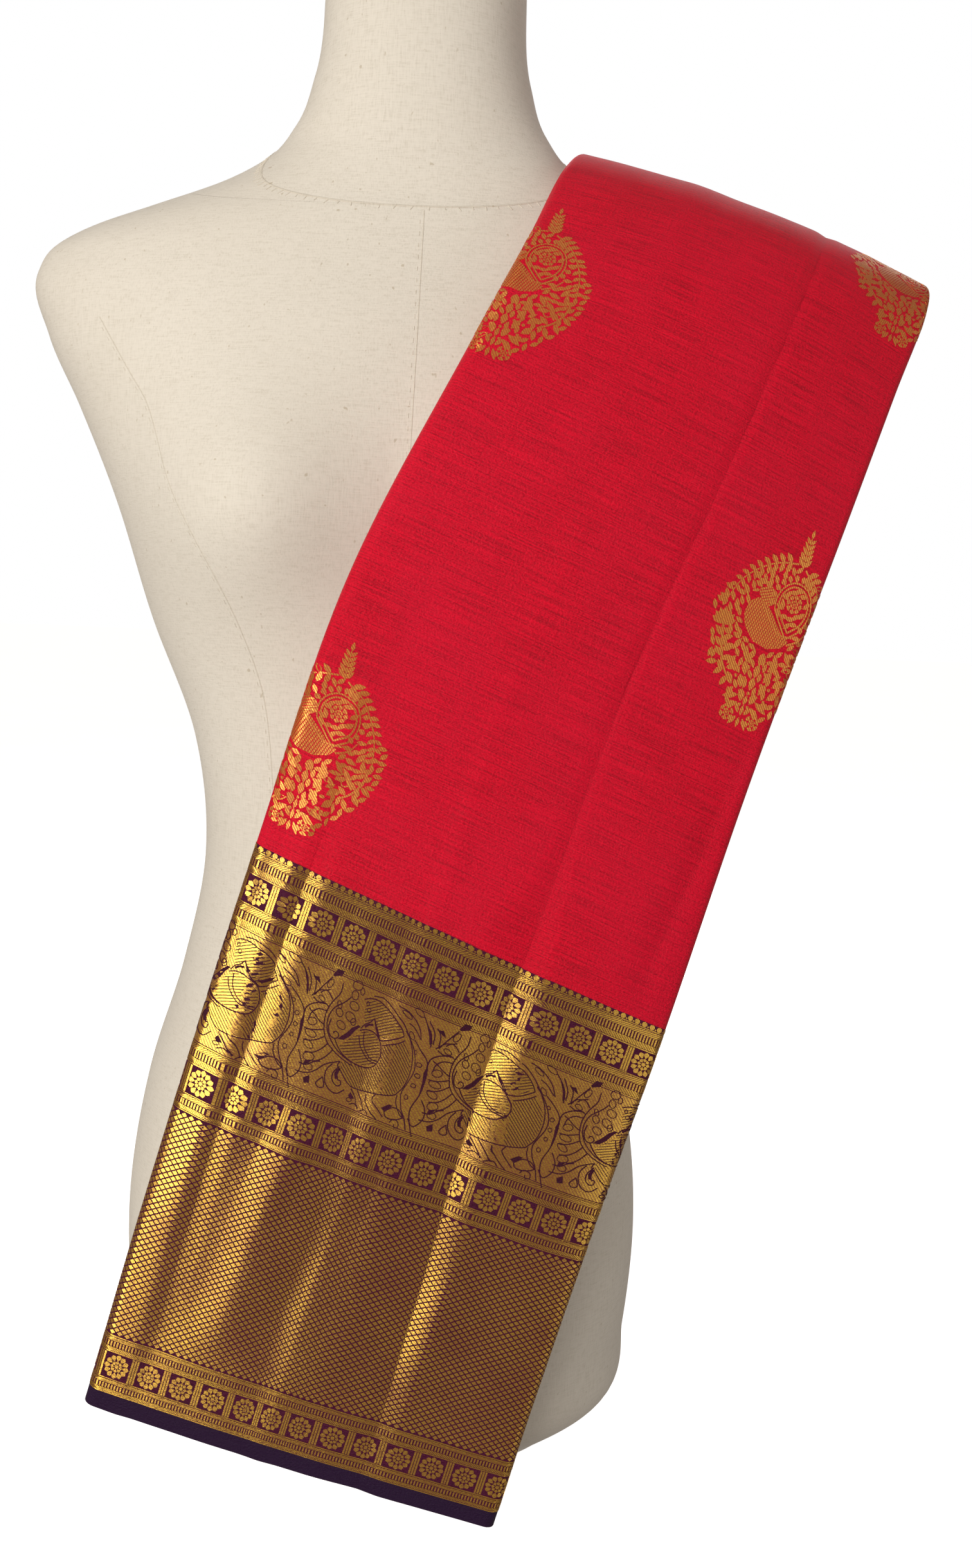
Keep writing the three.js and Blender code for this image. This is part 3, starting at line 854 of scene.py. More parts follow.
# The figured band, in millimetres right and up of the bird's eye. This table and the
# three after it were not charted by hand: points were read off an enlarged picture of
# the figure, and another program scaled them and wrote them here. They trace that
# figure, and a generic one of like size should take their place.
# The thin dark lines that part one gold shape from the next:
FIGURE_LINES = [
    [(-3.6, 3.9), (-0.4, 5.5), (3.6, 5.9), (7.5, 5.1), (11.8, 3.4), (16.1, 0.7), (18.9, -2.1),
     (20.5, -4.6)],
    [(0.7, 7), (6.4, 7.9), (12.1, 5.7), (17.1, 2.5), (21.4, -1.8), (25, -6.4), (27.5, -11.4),
     (28.6, -17.1), (28.2, -22.9), (26.8, -27.5), (23.9, -31.8)],
    [(20.5, -4.6), (17.9, -6.8), (14.6, -9.1), (10.5, -10.9)],
    [(21.6, -6.3), (18.9, -8.6), (15.7, -10.7), (12, -12.7)],
    [(3.9, -2.5), (5.9, -5.7), (8.2, -9.1), (10.5, -10.9)],
    [(3.9, -2.5), (2.1, -5), (-0.4, -6.8), (-2, -9.3)],
    [(-2.3, -10.4), (0.7, -8.9), (5, -8.6), (8.9, -10.1), (11.4, -13.4), (12.3, -17.4),
     (11.4, -21.1), (9.1, -24), (5.7, -25.4), (1.4, -25.9), (-3.6, -25.4), (-8.2, -23.6),
     (-11.4, -20.7), (-13.2, -18.2)],
    [(-2.1, -12.9), (-0.4, -17), (2.9, -20), (6.4, -21.7), (10.7, -21.7)],
    [(0.1, -10), (0.9, -15), (3.7, -18.7), (7.3, -20.6), (11.6, -20.6)],
    [(-6.8, -31.4), (-1.4, -36.1), (5, -36.3), (10.7, -35.5), (16.4, -34.4), (21.4, -33),
     (23.9, -31.8)],
    [(-8.2, -27.3), (-8.9, -29.6), (-6.8, -31.4)],
    [(-15, 7), (-15.1, 2.1), (-17.7, -2.9), (-19.3, -7.9), (-19.4, -12.9), (-18.2, -17.9),
     (-15.7, -21.6), (-10.7, -24.7), (-5, -26.6), (-2.3, -27)],
    [(-9.9, 2.5), (-12.3, -0.9), (-16.3, -5.1), (-18, -10), (-17.6, -15.1), (-15, -19.4),
     (-10.7, -23), (-5.7, -25.1), (-2.3, -25.7)],
    [(-20.6, 7.5), (-23.6, 2.5), (-26.1, -1.8), (-28.2, -4.3)],
    [(-16.6, -10.4), (-17, -14.3), (-15.7, -17.5), (-13.4, -18.4), (-11.7, -17.1),
     (-12.1, -15.4), (-13.7, -15.1), (-14.3, -16.4)],
    [(-19.3, -14.3), (-22.1, -13.2), (-25, -11.4), (-27.9, -10)],
    [(-19, -16.4), (-22.1, -17.9), (-25, -18.9), (-27.9, -19.1)],
    [(-17.9, -19.3), (-20.7, -21.8), (-23.9, -23.6), (-27.1, -24.3)],
    [(-15.7, -21.8), (-18.2, -25.4), (-21.4, -28.2), (-25, -29.3)],
    [(-12.9, -23.9), (-15.4, -27.9), (-18.2, -30.7), (-20.7, -32.1)],
    [(-18.9, -5.7), (-21.4, -5), (-24.3, -5.7), (-27.1, -4.6)],
    [(-17.9, -2.1), (-20, 0), (-22.1, 0.7), (-24.3, -1.4)],
    [(-27.1, -38.9), (-22.1, -38.2), (-18.2, -35.4), (-15, -31.4), (-10.7, -28.6), (-8.2, -27.3)],
    [(-26.4, -35), (-22.9, -34.6), (-20, -32.1), (-17.1, -30.7)],
    [(-11.4, -29.6), (-13.6, -33.6), (-12.9, -38.6), (-9.6, -41.8), (-6.1, -41.8), (-3.2, -38.9)],
    [(-7.9, -29.6), (-10.1, -33.2), (-9.9, -36.8), (-7.5, -38.6), (-5.6, -37.7), (-5.9, -35.9),
     (-7.5, -35.9)],
    [(-14.3, -37.1), (-16.6, -40.7), (-15, -42.3), (-12.7, -41.1), (-14.3, -37.1)],
    [(10, -36.8), (10.6, -40), (13.9, -43.2), (17.9, -46.1)],
    [(15, -35), (13.9, -37.9), (17.1, -41.1), (20.7, -43.9)],
    [(0, -37.3), (3.2, -40), (5.7, -42.9), (7.1, -45)],
    [(3.9, -36.6), (6.4, -38.9), (9.3, -42.1), (10.7, -44.6)],
    [(1.1, -44.6), (4.3, -43.2), (7.5, -44.6)],
    [(8.6, -45.7), (11.4, -43.9), (13.9, -45.7)],
    [(25, -31.4), (25.4, -35), (28.2, -38.9), (31.4, -40.7)],
    [(20.7, -41.1), (24.3, -37.9), (28.6, -37.9), (31.1, -40.7), (26.4, -43.2), (22.1, -43.2),
     (20.7, -41.1)],
    [(25, -45), (26.4, -42.9), (29.6, -43.2), (30.4, -45.7), (28.2, -46.4), (27.7, -45)],
    [(20.7, -1.8), (25, -5.7), (28.2, -10), (30.4, -15), (30.4, -20), (28.2, -25.7), (26.8, -30),
     (28.2, -35), (31.4, -40), (33.6, -45.7)],
    [(26.4, -4.3), (31.4, -7.9), (34.6, -11.4), (35.7, -16.4), (35.7, -22.9), (34.9, -28.6),
     (33, -35), (33.9, -40.7), (37.1, -47.9)],
    [(21.4, 2.1), (25, 0.7), (29.3, -2.9)],
    [(15, 7.9), (19.3, 7), (24.3, 4.3), (27.9, 0.7), (29.9, -3.2)],
    [(27.9, 7.7), (31.4, 4.3), (33.7, 0), (34.4, -4.6)],
    [(31.4, 7), (34.6, 2.1), (35.1, -2.9)],
    [(35, 5), (37.3, 2.1), (37.7, -3.6)],
    [(37.9, -3.6), (39.6, -0.7), (42.9, 0.7), (45, 1.8)],
    [(35.1, -14.3), (35.7, -10), (38.6, -7.1), (41.8, -5.7), (45, -5.1)],
    [(36.6, -29.6), (39.3, -33.6), (39.6, -37.9), (37.9, -41.4), (35.7, -43), (33, -40)],
    [(45.4, -7.9), (41.4, -8.6), (38.6, -11.4), (37.9, -15)],
]
# Small patches where the ground shows.
FIGURE_GAPS = [
    [(3.7, -2.7), (7.1, -5.9), (9.6, -9.4), (9.1, -10), (5.7, -6.8)],
    [(-11.8, -18), (-8.9, -17.4), (-6.3, -14.7), (-4.3, -11.1), (-2.3, -8.6), (-3.6, -8.4),
     (-6.3, -10.7), (-8.2, -13.7), (-10.4, -16.1)],
    [(-0.4, -7.3), (1.8, -5.7), (3.9, -5.1), (4.1, -6.1), (2, -6.6), (0.1, -8.3)],
    [(30.1, 5.4), (33, 2.5), (34.7, -2.5), (33.7, -3.7), (32.6, 0.6)],
    [(-18.9, 11.8), (-15.7, 12.1), (-16.4, 9.6), (-18, 8.9), (-20, 7.9), (-20.7, 8.6)],
    [(35.1, -13.9), (36.1, -17.1), (35.4, -21.4), (35.7, -25.7), (34.9, -27.1), (34.9, -21.4),
     (34.4, -17.1)],
    [(0.4, -38.9), (3.2, -41.1), (0.9, -42), (-0.7, -40.7)],
    [(18.6, -40), (22.1, -37.1), (24.3, -37.1), (20.7, -41.1)],
    [(-9.6, -33.6), (-8.9, -31.4), (-7.1, -30), (-7.9, -33.6), (-7.1, -35.6), (-8.7, -35.9)],
    [(35, 4.3), (37.9, 5), (39.6, 2.1), (37.9, 2.9)],
    [(42.1, -40.7), (44.6, -38.6), (45.4, -42.1), (42.9, -42.9)],
    [(-23.9, -32.9), (-20.7, -31.4), (-22.1, -33.7), (-24.3, -35)],
]
# Outlined petals and berries: x, y, half length, half width and turn.
FIGURE_LOBES = [
    (-8.2, 8.6, 2.4, 2.1, 20), (-8.4, 3.9, 1.6, 2.1, 10), (-7.5, -0.9, 2.4, 1.9, -20),
    (-8.1, -6.3, 2.7, 2, -30), (-11.6, -11.4, 2.3, 1.7, -25), (-6.3, -7.9, 1.3, 1.6, 0),
    (-13.6, -6.3, 1.6, 1.9, 30), (-5.4, 6.8, 1, 1.6, 0), (28.7, -9.4, 0.9, 0.9, 0),
    (31.9, -14.3, 1, 1, 0), (32.4, -19.4, 1, 1, 0), (31.8, -24.4, 0.9, 0.9, 0),
    (30.1, -30.7, 1, 1.1, 0), (40, -15, 2.4, 1.7, 20), (40.4, -20.4, 2.9, 1.6, -5),
    (40.4, -25.4, 2.7, 1.6, -20), (42.1, -30.7, 2.6, 1.9, 20), (42.9, -35.1, 2.1, 1.6, 0),
    (-1.4, 2.7, 0.7, 0.9, 0), (25, 8.6, 2.9, 1.3, -20), (19.6, 5.4, 2.6, 1, -25),
    (24.3, -2.9, 2.1, 1.1, -45), (-20.7, 4.3, 1.3, 2.4, -25), (-22.9, -3.6, 1.9, 1.1, -20),
    (-14.3, -2.9, 1, 1.7, 25), (0.4, -42.5, 1.6, 0.9, 10),
]
# Head, body and wing, woven with slanting threads.
FIGURE_FILLS = [
    [(-1.4, 4.3), (3.6, 5.6), (7.5, 4.9), (11.8, 3.1), (16.1, 0.4), (18.9, -2.4), (20.1, -4.6),
     (17.7, -6.4), (14.5, -8.7), (10.7, -10.4), (8.4, -9), (6.1, -5.4), (3.9, -2.1), (1.8, -4.6),
     (-0.7, -5.7), (-2, -2.9), (-2.3, 1.4)],
    [(21.6, -6.3), (25, -10), (27.5, -14.3), (28, -20), (26.8, -25.7), (23.9, -31.4),
     (20.7, -33.2), (16.4, -34.4), (10.7, -35.5), (5, -36.3), (-1.4, -36.1), (-6.8, -31.4),
     (-7.9, -27.5), (-3.6, -25.9), (1.4, -26.3), (6.1, -25.7), (9.6, -24.3), (12, -21.4),
     (12.9, -17.4), (12, -13.4), (15.7, -10.9), (18.9, -8.7)],
    [(-1.4, -10.7), (1.1, -9.4), (5, -9.1), (8.7, -10.7), (11, -13.7), (11.7, -17.4),
     (10.9, -20.9), (8.9, -23.6), (5.7, -24.9), (1.4, -25.3), (-3.6, -24.7), (-7.9, -23),
     (-11.1, -20.4), (-7.1, -17.1), (-3.6, -12.9)],
]
FIGURE_SLANTS = (30, -42, 24)


def figure_repeat(outlines, fills, p0, v0):
    """One repeat of the broad figured band, four rosettes wide: a bird with a
    curling tail among leaves, on a ground that is nearly all gold."""
    m = Motif(outlines, in_rosettes(p0, v0))
    for points in FIGURE_LINES:
        m.line(curve(points, 2 * len(points) + 3), 0.5)
    for x, y, length, width, turn in FIGURE_LOBES:
        m.ring(x, y, length, 0.36, 14, width / length, turn)
    m.ring(0, 0, 1.0, 0.4, 10)
    for points in FIGURE_GAPS:
        m.patch(points)
    under = Motif(fills[0], in_rosettes(p0, v0))
    over = Motif(fills[1], in_rosettes(p0, v0))
    for points, slant in zip(FIGURE_FILLS, FIGURE_SLANTS):
        under.hatch(points, slant, 2.0, 0.0)
        over.hatch(points, slant, 1.3, 0.38)


MOTIF_SIZE = 1.08
# The drop-shaped outline that the motif fills, which follows that of the pictured motif.
MOTIF_OUTLINE = [(-3.5, 0.6), (5, 2.4), (8.5, 9), (15, 15.5), (20.5, 24), (24, 34), (24.5, 45),
                 (21.5, 56), (16, 64.5), (8, 70.6), (0, 73.6), (-8, 73.4), (-17, 69.6),
                 (-25, 62.6), (-31, 53), (-33.4, 44), (-30, 34), (-27.6, 26), (-23.6, 19),
                 (-14.6, 13), (-12.5, 4)]


def inside(outline, x, y):
    """Whether a point is inside an outline."""
    odd = False
    for (x0, y0), (x1, y1) in zip(outline, outline[1:] + outline[:1]):
        if (y0 > y) != (y1 > y) and x < x0 + (x1 - x0) * (y - y0) / (y1 - y0):
            odd = not odd
    return odd


def paisley_motif(weave, u0, v0):
    """The large woven motif of the field, standing on u0, v0: a bird whose tail
    curls up round a flower, in a drop-shaped wreath of leaves."""
    m = Motif(weave, lambda x, y: np.stack([u0 + x, v0 + y], -1), MOTIF_SIZE)
    # sprig on top
    m.spray([(-0.9, 72), (-1.6, 79), (-2.0, 85.6)], 5, 5.0, 2.2, 42, 0.7)
    # wreath: left and right arches of leaf pairs
    m.spray([(-3.4, 73.6), (-12.6, 70.4), (-20.4, 64.6), (-26.2, 57.0), (-28.8, 48.0)],
            9, 5.0, 2.6, 58, 0.8)
    m.spray([(0.8, 72.4), (7.6, 68.2), (13.8, 61.2), (18.2, 52.4), (20.2, 43)],
            8, 5.0, 2.6, 58, 0.8)
    # the tail's flower in its double drop
    m.rosette(1.6, 57.4, 4.0, 8)
    drop = curve([(3.2, 45.4), (7.6, 50.6), (8.6, 57.2), (5.6, 63.2), (-0.6, 64.4),
                  (-5.0, 60.4), (-5.4, 54.2), (-1.2, 49.2), (3.2, 45.4)], 24)
    m.line(drop, 0.8)
    centre = np.array([1.6, 57.2])
    m.line(centre + (drop - centre) * 1.22, 0.7)
    for k in range(15):
        a = -50 + 17.5 * k
        c, s = math.cos(math.radians(a)), math.sin(math.radians(a))
        m.leaf(centre[0] + 9.2 * c, centre[1] + 9.4 * s, a, 3.2, 2.5, 8, 0.6)
    # bird: head, breast and hatched body
    m.hatch([(-16.6, 57.8), (-12.4, 60.4), (-8.2, 58.8), (-6.6, 54.6), (-9.2, 52.2),
             (-13.4, 53.2), (-16.0, 55.2)], 30, 1.2, 0.3)
    m.leaf(-16.4, 56.6, 205, 3.6, 1.4, 6, 0.3)
    m.hatch([(-18.8, 50.6), (-15.4, 54.0), (-10.2, 52.6), (-4.6, 48.4), (1.0, 43.6),
             (5.2, 42.2), (3.4, 38.6), (-3.2, 35.6), (-10.6, 36.2), (-16.4, 40.4),
             (-19.2, 45.2)], 72, 1.2, 0.32)
    m.line(curve([(-12.8, 52.6), (-6.6, 47.4), (-0.6, 43.4), (6.2, 44.2)], 9), 0.7)
    m.line(curve([(5.0, 40.6), (9.2, 43.8), (12.2, 48.4)], 7), 0.9, 0.6)
    # fan bud on its own stem, to the left
    m.line(curve([(-26.0, 37.2), (-23.4, 30.2), (-20.4, 23.6)], 7), 1.2)
    for k in range(7):
        m.leaf(-26.2, 37.4, 36 + 22 * k, 7.4 - 0.5 * abs(k - 3), 2.6, 8, 0.6)
    for x, y in ((-24.2, 33.0), (-22.4, 28.8), (-21.0, 25.2)):
        m.leaf(x, y, 150, 5.6, 2.6)
        m.leaf(x, y - 1, 30, 5.2, 2.5)
    # leaf scrolls and filling round the body
    for x, y, angle, length in (
            (-15.6, 35.4, 250, 6.0), (-12.0, 33.8, 280, 5.4), (-7.6, 33.6, 255, 5.0),
            (-3.0, 33.4, 285, 5.4), (1.6, 35.0, 300, 6.0), (5.8, 37.8, 310, 6.2),
            (8.6, 40.4, 350, 5.8), (9.4, 36.0, 320, 6.6), (13.8, 40.6, 60, 6.0),
            (17.6, 36.8, 100, 6.0), (-22.8, 44.6, 110, 5.2), (-21.8, 40.2, 200, 4.6),
            (-20.6, 52.6, 130, 5.0), (-18.2, 60.8, 150, 4.6), (-12.6, 63.2, 120, 4.6),
            (-7.2, 64.8, 100, 4.0), (-15.0, 27.8, 240, 5.4), (-17.4, 31.2, 200, 5.0),
            (2.8, 29.8, 330, 5.8), (7.8, 30.2, 20, 5.2), (12.6, 33.6, 300, 6.2)):
        m.leaf(x, y, angle, length, 2.5)
    m.scroll(11.6, 30.4, 4.0, 190, -1.1, 0.9, 12)
    m.line(curve([(19.6, 40), (19.0, 33), (15.8, 26.4), (10.6, 21.6)], 9), 1.1, 0.7)
    m.line(curve([(-20.4, 23.6), (-16.8, 19.4), (-12.6, 17)], 7), 1.0, 0.7)
    for x, y, angle in ((18.8, 31.4, 330), (16.6, 26.8, 310), (13.4, 23.4, 300), (17.4, 29.2, 150),
                        (14.2, 25.2, 150), (-18.6, 21.2, 230), (-15.6, 18.6, 250),
                        (-17.4, 21.6, 30), (-22.2, 22.4, 200), (10.2, 20.2, 280)):
        m.leaf(x, y, angle, 5.2, 2.5)
    # vase-shaped foot: overlapping petals in rows
    for row, (count, y, spread, length) in enumerate(((3, 28.0, 4.6, 5.6), (5, 22.6, 9.4, 5.8),
                                                      (5, 17.0, 9.0, 5.6), (4, 11.6, 6.6, 5.2))):
        for k in range(count):
            s = 2 * k / (count - 1) - 1
            m.leaf(-3.4 + spread * s, y - 0.8 * abs(s), 90 - 42 * s, length, 3.2, 8, 0.55)
            m.dot(-3.4 + spread * s * 0.9, y - 1.4 - 0.8 * abs(s), 0.8, 6)
    for s in (-1, 1):
        m.leaf(-3.4 + 4.4 * s, 13.4, 90 - 115 * s, 7.2, 2.6)
        m.leaf(-3.4 + 3.2 * s, 10.4, 90 - 125 * s, 6.6, 2.6)
        m.rosette(-3.4 + 6.4 * s, 4.6, 3.4, 6)
        m.leaf(-3.4 + 1.6 * s, 4.8, 90 - 150 * s, 5.2, 2.0)
        m.leaf(-3.4 + 1.4 * s, 6.4, 90 - 30 * s, 4.4, 2.0)
    m.leaf(-3.4, 4.8, 270, 4.4, 1.8)
    m.leaf(-3.4, 5.6, 90, 4.8, 1.8)
    # small leaves in what is left of the drop, leaning out from its axis
    taken = list(m.taken)
    step = 1.55
    for row, y in enumerate(np.arange(3, 72, step)):
        for x in np.arange(-33 + step / 2 * (row % 2), 25, step):
            if not inside(MOTIF_OUTLINE, x, y):
                continue
            if min(math.hypot(x - a, y - b) - r for a, b, r in taken) < 1.25:
                continue
            away = 34 if x > -3.4 else 146
            away += (18 if row % 4 < 2 else -24) + (34 if y < 30 else 0) * (1 if x > -3.4 else -1)
            c, n = math.cos(math.radians(away)), math.sin(math.radians(away))
            m.leaf(x - 1.9 * c, y - 1.9 * n, away, 4.2, 2.1, 8)
            taken += [(x - 0.9 * c, y - 0.9 * n, 0.5), (x + 0.9 * c, y + 0.9 * n, 0.5)]


# Rows of the front border, from the hem up: kind, low, high.
FRONT_BORDER = [
    ("chevron", 8.5, 16.0), ("rosettes", 16.0, 28.6), ("chevron", 28.6, 36.8),
    ("lattice", 36.8, 148.5), ("chevron", 148.5, 157.0), ("rosettes", 157.0, 170.0),
    ("chevron", 170.0, 180.0), ("birds", 180.0, 236.3), ("chevron", 236.3, 247.5),
    ("rosettes", 247.5, 260.5), ("chevron", 260.5, 271.4), ("buds", 271.4, BORDER),
]
BACK_ROWS = [
    ("chevron", 1154.6, 1161.6), ("lattice", 1161.6, 1180.0), ("chevron", 1180.0, 1187.0),
]


def weave_border():
    pieces = []
    bands, grid = Weave(), Weave()
    outlines, under, over = Weave(0.25), Weave(0.17), Weave(0.21)
    for kind, low, high in FRONT_BORDER:
        if kind == "chevron":
            chevron(bands, low, high)
        elif kind == "rosettes":
            rosette_row(bands, low, high)
        elif kind == "lattice":
            lattice(grid, low, high)
        elif kind == "buds":
            bud_row(bands, low, high)
        else:
            figure_low, figure_high = low + 0.3, high - 0.3
            for k in range(-4, 6):
                figure_repeat(outlines, (under, over), 4 * k + 0.05, high - 10.0)
    pieces.append(bands.build("zari_front_bands"))
    pieces.append(grid.build("zari_front_lattice"))
    pieces.append(over.build("zari_front_birds"))
    us = ROUND_U[(ROUND_U > OPEN_LEFT + 0.6) & (ROUND_U < OPEN_RIGHT - 0.6)]
    us = np.concatenate([[OPEN_LEFT + 0.6], us, [OPEN_RIGHT - 0.6]])
    figures = shell("zari_front_figures", us, spaced(figure_low, figure_high, 4), 0.13, 0.2)
    dark = [outlines.build("figure_outlines"), under.build("figure_ground")]
    return pieces, figures, dark


def weave_back_border():
    bands = Weave()
    for kind, low, high in BACK_ROWS:
        if kind == "chevron":
            chevron(bands, low, high)
        else:
            lattice(bands, low, high, rows=6)
    return bands.build("zari_back_border")


# Places of the field's motifs: u and v.
MOTIFS_FRONT = [(15.5, 286), (12.5, 521), (191, 420), (193, 620), (-100, 404), (-100, 640)]
MOTIFS_BACK = [(14, 757), (191, 875), (14, 993), (-104, 875)]


# ---- making the cloth ------------------------------------------------------------------------

STRETCHES = [
    # name, start, end, row spacing, material, slot, other nodes it stands for
    ("front_border", 0, BORDER, 5, ground_silk, "purple_silk", ["saree_front_selvedge"]),
    ("front_field", BORDER, SHOULDER[0], 5, red_silk, "red_silk", []),
    ("shoulder_field", SHOULDER[0], SHOULDER[1], 3.5, red_silk, "red_silk", []),
    ("back_field", SHOULDER[1], CLOTH_LENGTH - BACK_BORDER, 6, red_silk, "red_silk", []),
    ("back_border", CLOTH_LENGTH - BACK_BORDER, CLOTH_LENGTH, 5, purple_silk, "purple_silk", []),
]


def make_zari():
    made = {"front_border": [], "front_field": [], "shoulder_field": [],
            "back_field": [], "back_border": []}
    gold, figures, dark = weave_border()
    made["front_border"] += [finish_piece(obj, border_gold, "gold_border") for obj in gold]
    made["front_border"].append(finish_piece(figures, figure_gold, "gold_border"))
    made["front_border"] += [finish_piece(obj, outline_silk, "purple_silk") for obj in dark]
    made["back_border"].append(finish_piece(weave_back_border(), border_gold, "gold_border"))
    for name, places in (("front_field", MOTIFS_FRONT), ("back_field", MOTIFS_BACK)):
        weave = Weave()
        for u0, v0 in places:
            paisley_motif(weave, u0, v0)
        obj = weave.build(f"zari_motifs_{name}")
        made[name].append(finish_piece(obj, motif_gold, "gold_border"))
    return made


def make_cloth():
    zari_of = make_zari()
    for name, start, end, step, material, slot, others in STRETCHES:
        obj = shell(f"cloth_{name}", ROUND_U, spaced(start, end, step))
        finish_piece(obj, material, slot, f"saree_{name}", *others)


def close_ends(values, columns):
    """Adds the mean of the first ring and of the last, about which their fans turn."""
    return np.vstack([values, values[:columns].mean(0), values[-columns:].mean(0)])


def tube_faces(rows, columns):
    """Faces of rings joined into a tube, with a fan over each end."""
    faces, last = grid_faces(rows, columns, closed=True), (rows - 1) * columns
    middle = rows * columns
    faces += [[(i + 1) % columns, i, middle] for i in range(columns)]
    faces += [[last + i, last + (i + 1) % columns, middle + 1] for i in range(columns)]
    return faces


def make_inner():
    """The hidden layers: one rounded slab, grooved at its folds like single layers."""
    arc = np.linspace(0, math.pi, 13)
    face = np.concatenate([spaced(0.03, 0.56, 0.02), spaced(0.575, 0.74, 0.01),
                           spaced(0.755, 0.97, 0.02)])
    vs = joined(spaced(2, SHOULDER[0], 6), spaced(SHOULDER[0], SHOULDER[1], 4),
                spaced(SHOULDER[1], CLOTH_LENGTH - 2, 8))
    v = vs[:, None]
    left, right, _ = band_line(v)
    width = np.linalg.norm(right - left, axis=-1)
    h = half_stack(v)
    hem = np.minimum(np.abs(v), np.abs(CLOTH_LENGTH - v))
    r = h - 0.85 - 0.9 * np.exp(-((hem / 4.0) ** 2))
    groove = 0.22 * (1 - np.cos(arc * 8)) / 2
    radius = r - groove[None, :]
    left_t = (h - radius * np.sin(arc)[None, :]) / width
    left_o = radius * np.cos(arc)[None, :]
    front_t = np.broadcast_to(face[None, :], (len(vs), len(face)))
    front_o = np.broadcast_to(r, front_t.shape)
    across = np.concatenate([left_t[:, ::-1], front_t, 1 - left_t, front_t[:, ::-1]], 1)
    off = np.concatenate([left_o[:, ::-1], front_o, left_o, -front_o], 1)
    vv = np.broadcast_to(v, across.shape)
    rows, columns = across.shape
    points = close_ends(stack_point(across, vv, off).reshape(-1, 3), columns)
    cloth = close_ends(np.stack([across * WIDTH, vv], -1).reshape(-1, 2), columns)
    obj = add_mesh("inner_layers", points, tube_faces(rows, columns), cloth, sharp=60)
    return finish_piece(obj, inner_silk, "inner_silk", "saree_inner_front",
                        "saree_inner_shoulder", "saree_inner_back")


# ---- the dress form ----------------------------------------------------------------------------

AROUND = 180


def ring_mesh(name, rings, sharp=50):
    """A closed solid through rings, each end closed by a fan."""
    rings = np.asarray(rings)
    rows, columns = rings.shape[:2]
    points = close_ends(rings.reshape(-1, 3), columns)
    return add_mesh(name, points, tube_faces(rows, columns), sharp=sharp)


def tilted_ring(z, tilt, inset=0.0):
    """A ring of the form's points that dips in front by tilt and rises behind."""
    angle = np.linspace(0, 2 * math.pi, AROUND, endpoint=False)
    return form_point(angle, z - tilt * np.cos(angle), inset)


def form_angle(x, z, front=True):
    half_width = row_at(FORM_ROWS, z)[..., 0]
    s = np.clip(np.abs(x) / half_width, 0, 0.999) ** (1 / SIDE_POWER)
    angle = np.arcsin(s) * np.sign(x)
    return angle if front else math.pi - angle


def make_form():
    tilt_at = lambda z: NECK_TILT * float(smoothstep(z, TILT_START, NECK_SEAM))
    low = FOOT["height"]
    heights = np.concatenate([low + 28 * np.linspace(0, 1, 16)[:-1] ** 1.3,
                              spaced(low + 28, TILT_START, 3.2),
                              spaced(TILT_START, NECK_SEAM - 1.2, 2.2)[1:]])
    rings = [tilted_ring(z, tilt_at(z)) for z in heights]
    for s in np.linspace(0.25, 1, 5):
        rings.append(tilted_ring(NECK_SEAM - 1.2 + 1.18 * s, NECK_TILT))
    rings.append(tilted_ring(NECK_SEAM - 0.02, NECK_TILT, 4.0))
    finish_piece(ring_mesh("torso", rings), linen, "linen", "form_torso")

    start = NECK_SEAM + 0.02
    rings = [tilted_ring(start, NECK_TILT, 4.0)]
    for s in np.linspace(1, 0.25, 5):
        rings.append(tilted_ring(start + 1 - s, NECK_TILT))
    for z in spaced(start + 1.2, NECK_TOP - 5, 2.2):
        level = (NECK_TOP - z) / (NECK_TOP - start)
        rings.append(tilted_ring(z, NECK_TILT * level**2))
    for a in np.linspace(0, math.pi / 2, 8)[1:]:
        rings.append(tilted_ring(NECK_TOP - 5 + 4.4 * math.sin(a), 0, 5 * (1 - math.cos(a))))
    for s in (0.25, 0.5, 0.75):
        rings.append(tilted_ring(NECK_TOP - 0.6 + 0.5 * s, 0, 5 + 42 * s))
    finish_piece(ring_mesh("neck", rings), linen, "linen", "form_neck")

    angle = np.linspace(0, 2 * math.pi, AROUND, endpoint=False)
    profile = [(0, 1.6), (0.4, 0.5), (1.6, 0), (low - 4.4, 0)]
    profile += [(low - 4.4 + 4 * math.sin(a), 4 * (1 - math.cos(a)))
                for a in np.linspace(0, math.pi / 2, 7)[1:]]
    foot = [np.stack([(FOOT["half_width"] - inset) * np.sin(angle),
                      FOOT["middle"] - (FOOT["half_depth"] - inset) * np.cos(angle),
                      np.full(AROUND, height)], -1) for height, inset in profile]
    finish_piece(ring_mesh("foot", foot), foot_wood, "foot", "form_foot")


def other_side(points):
    return [(-x, z) for x, z in points]
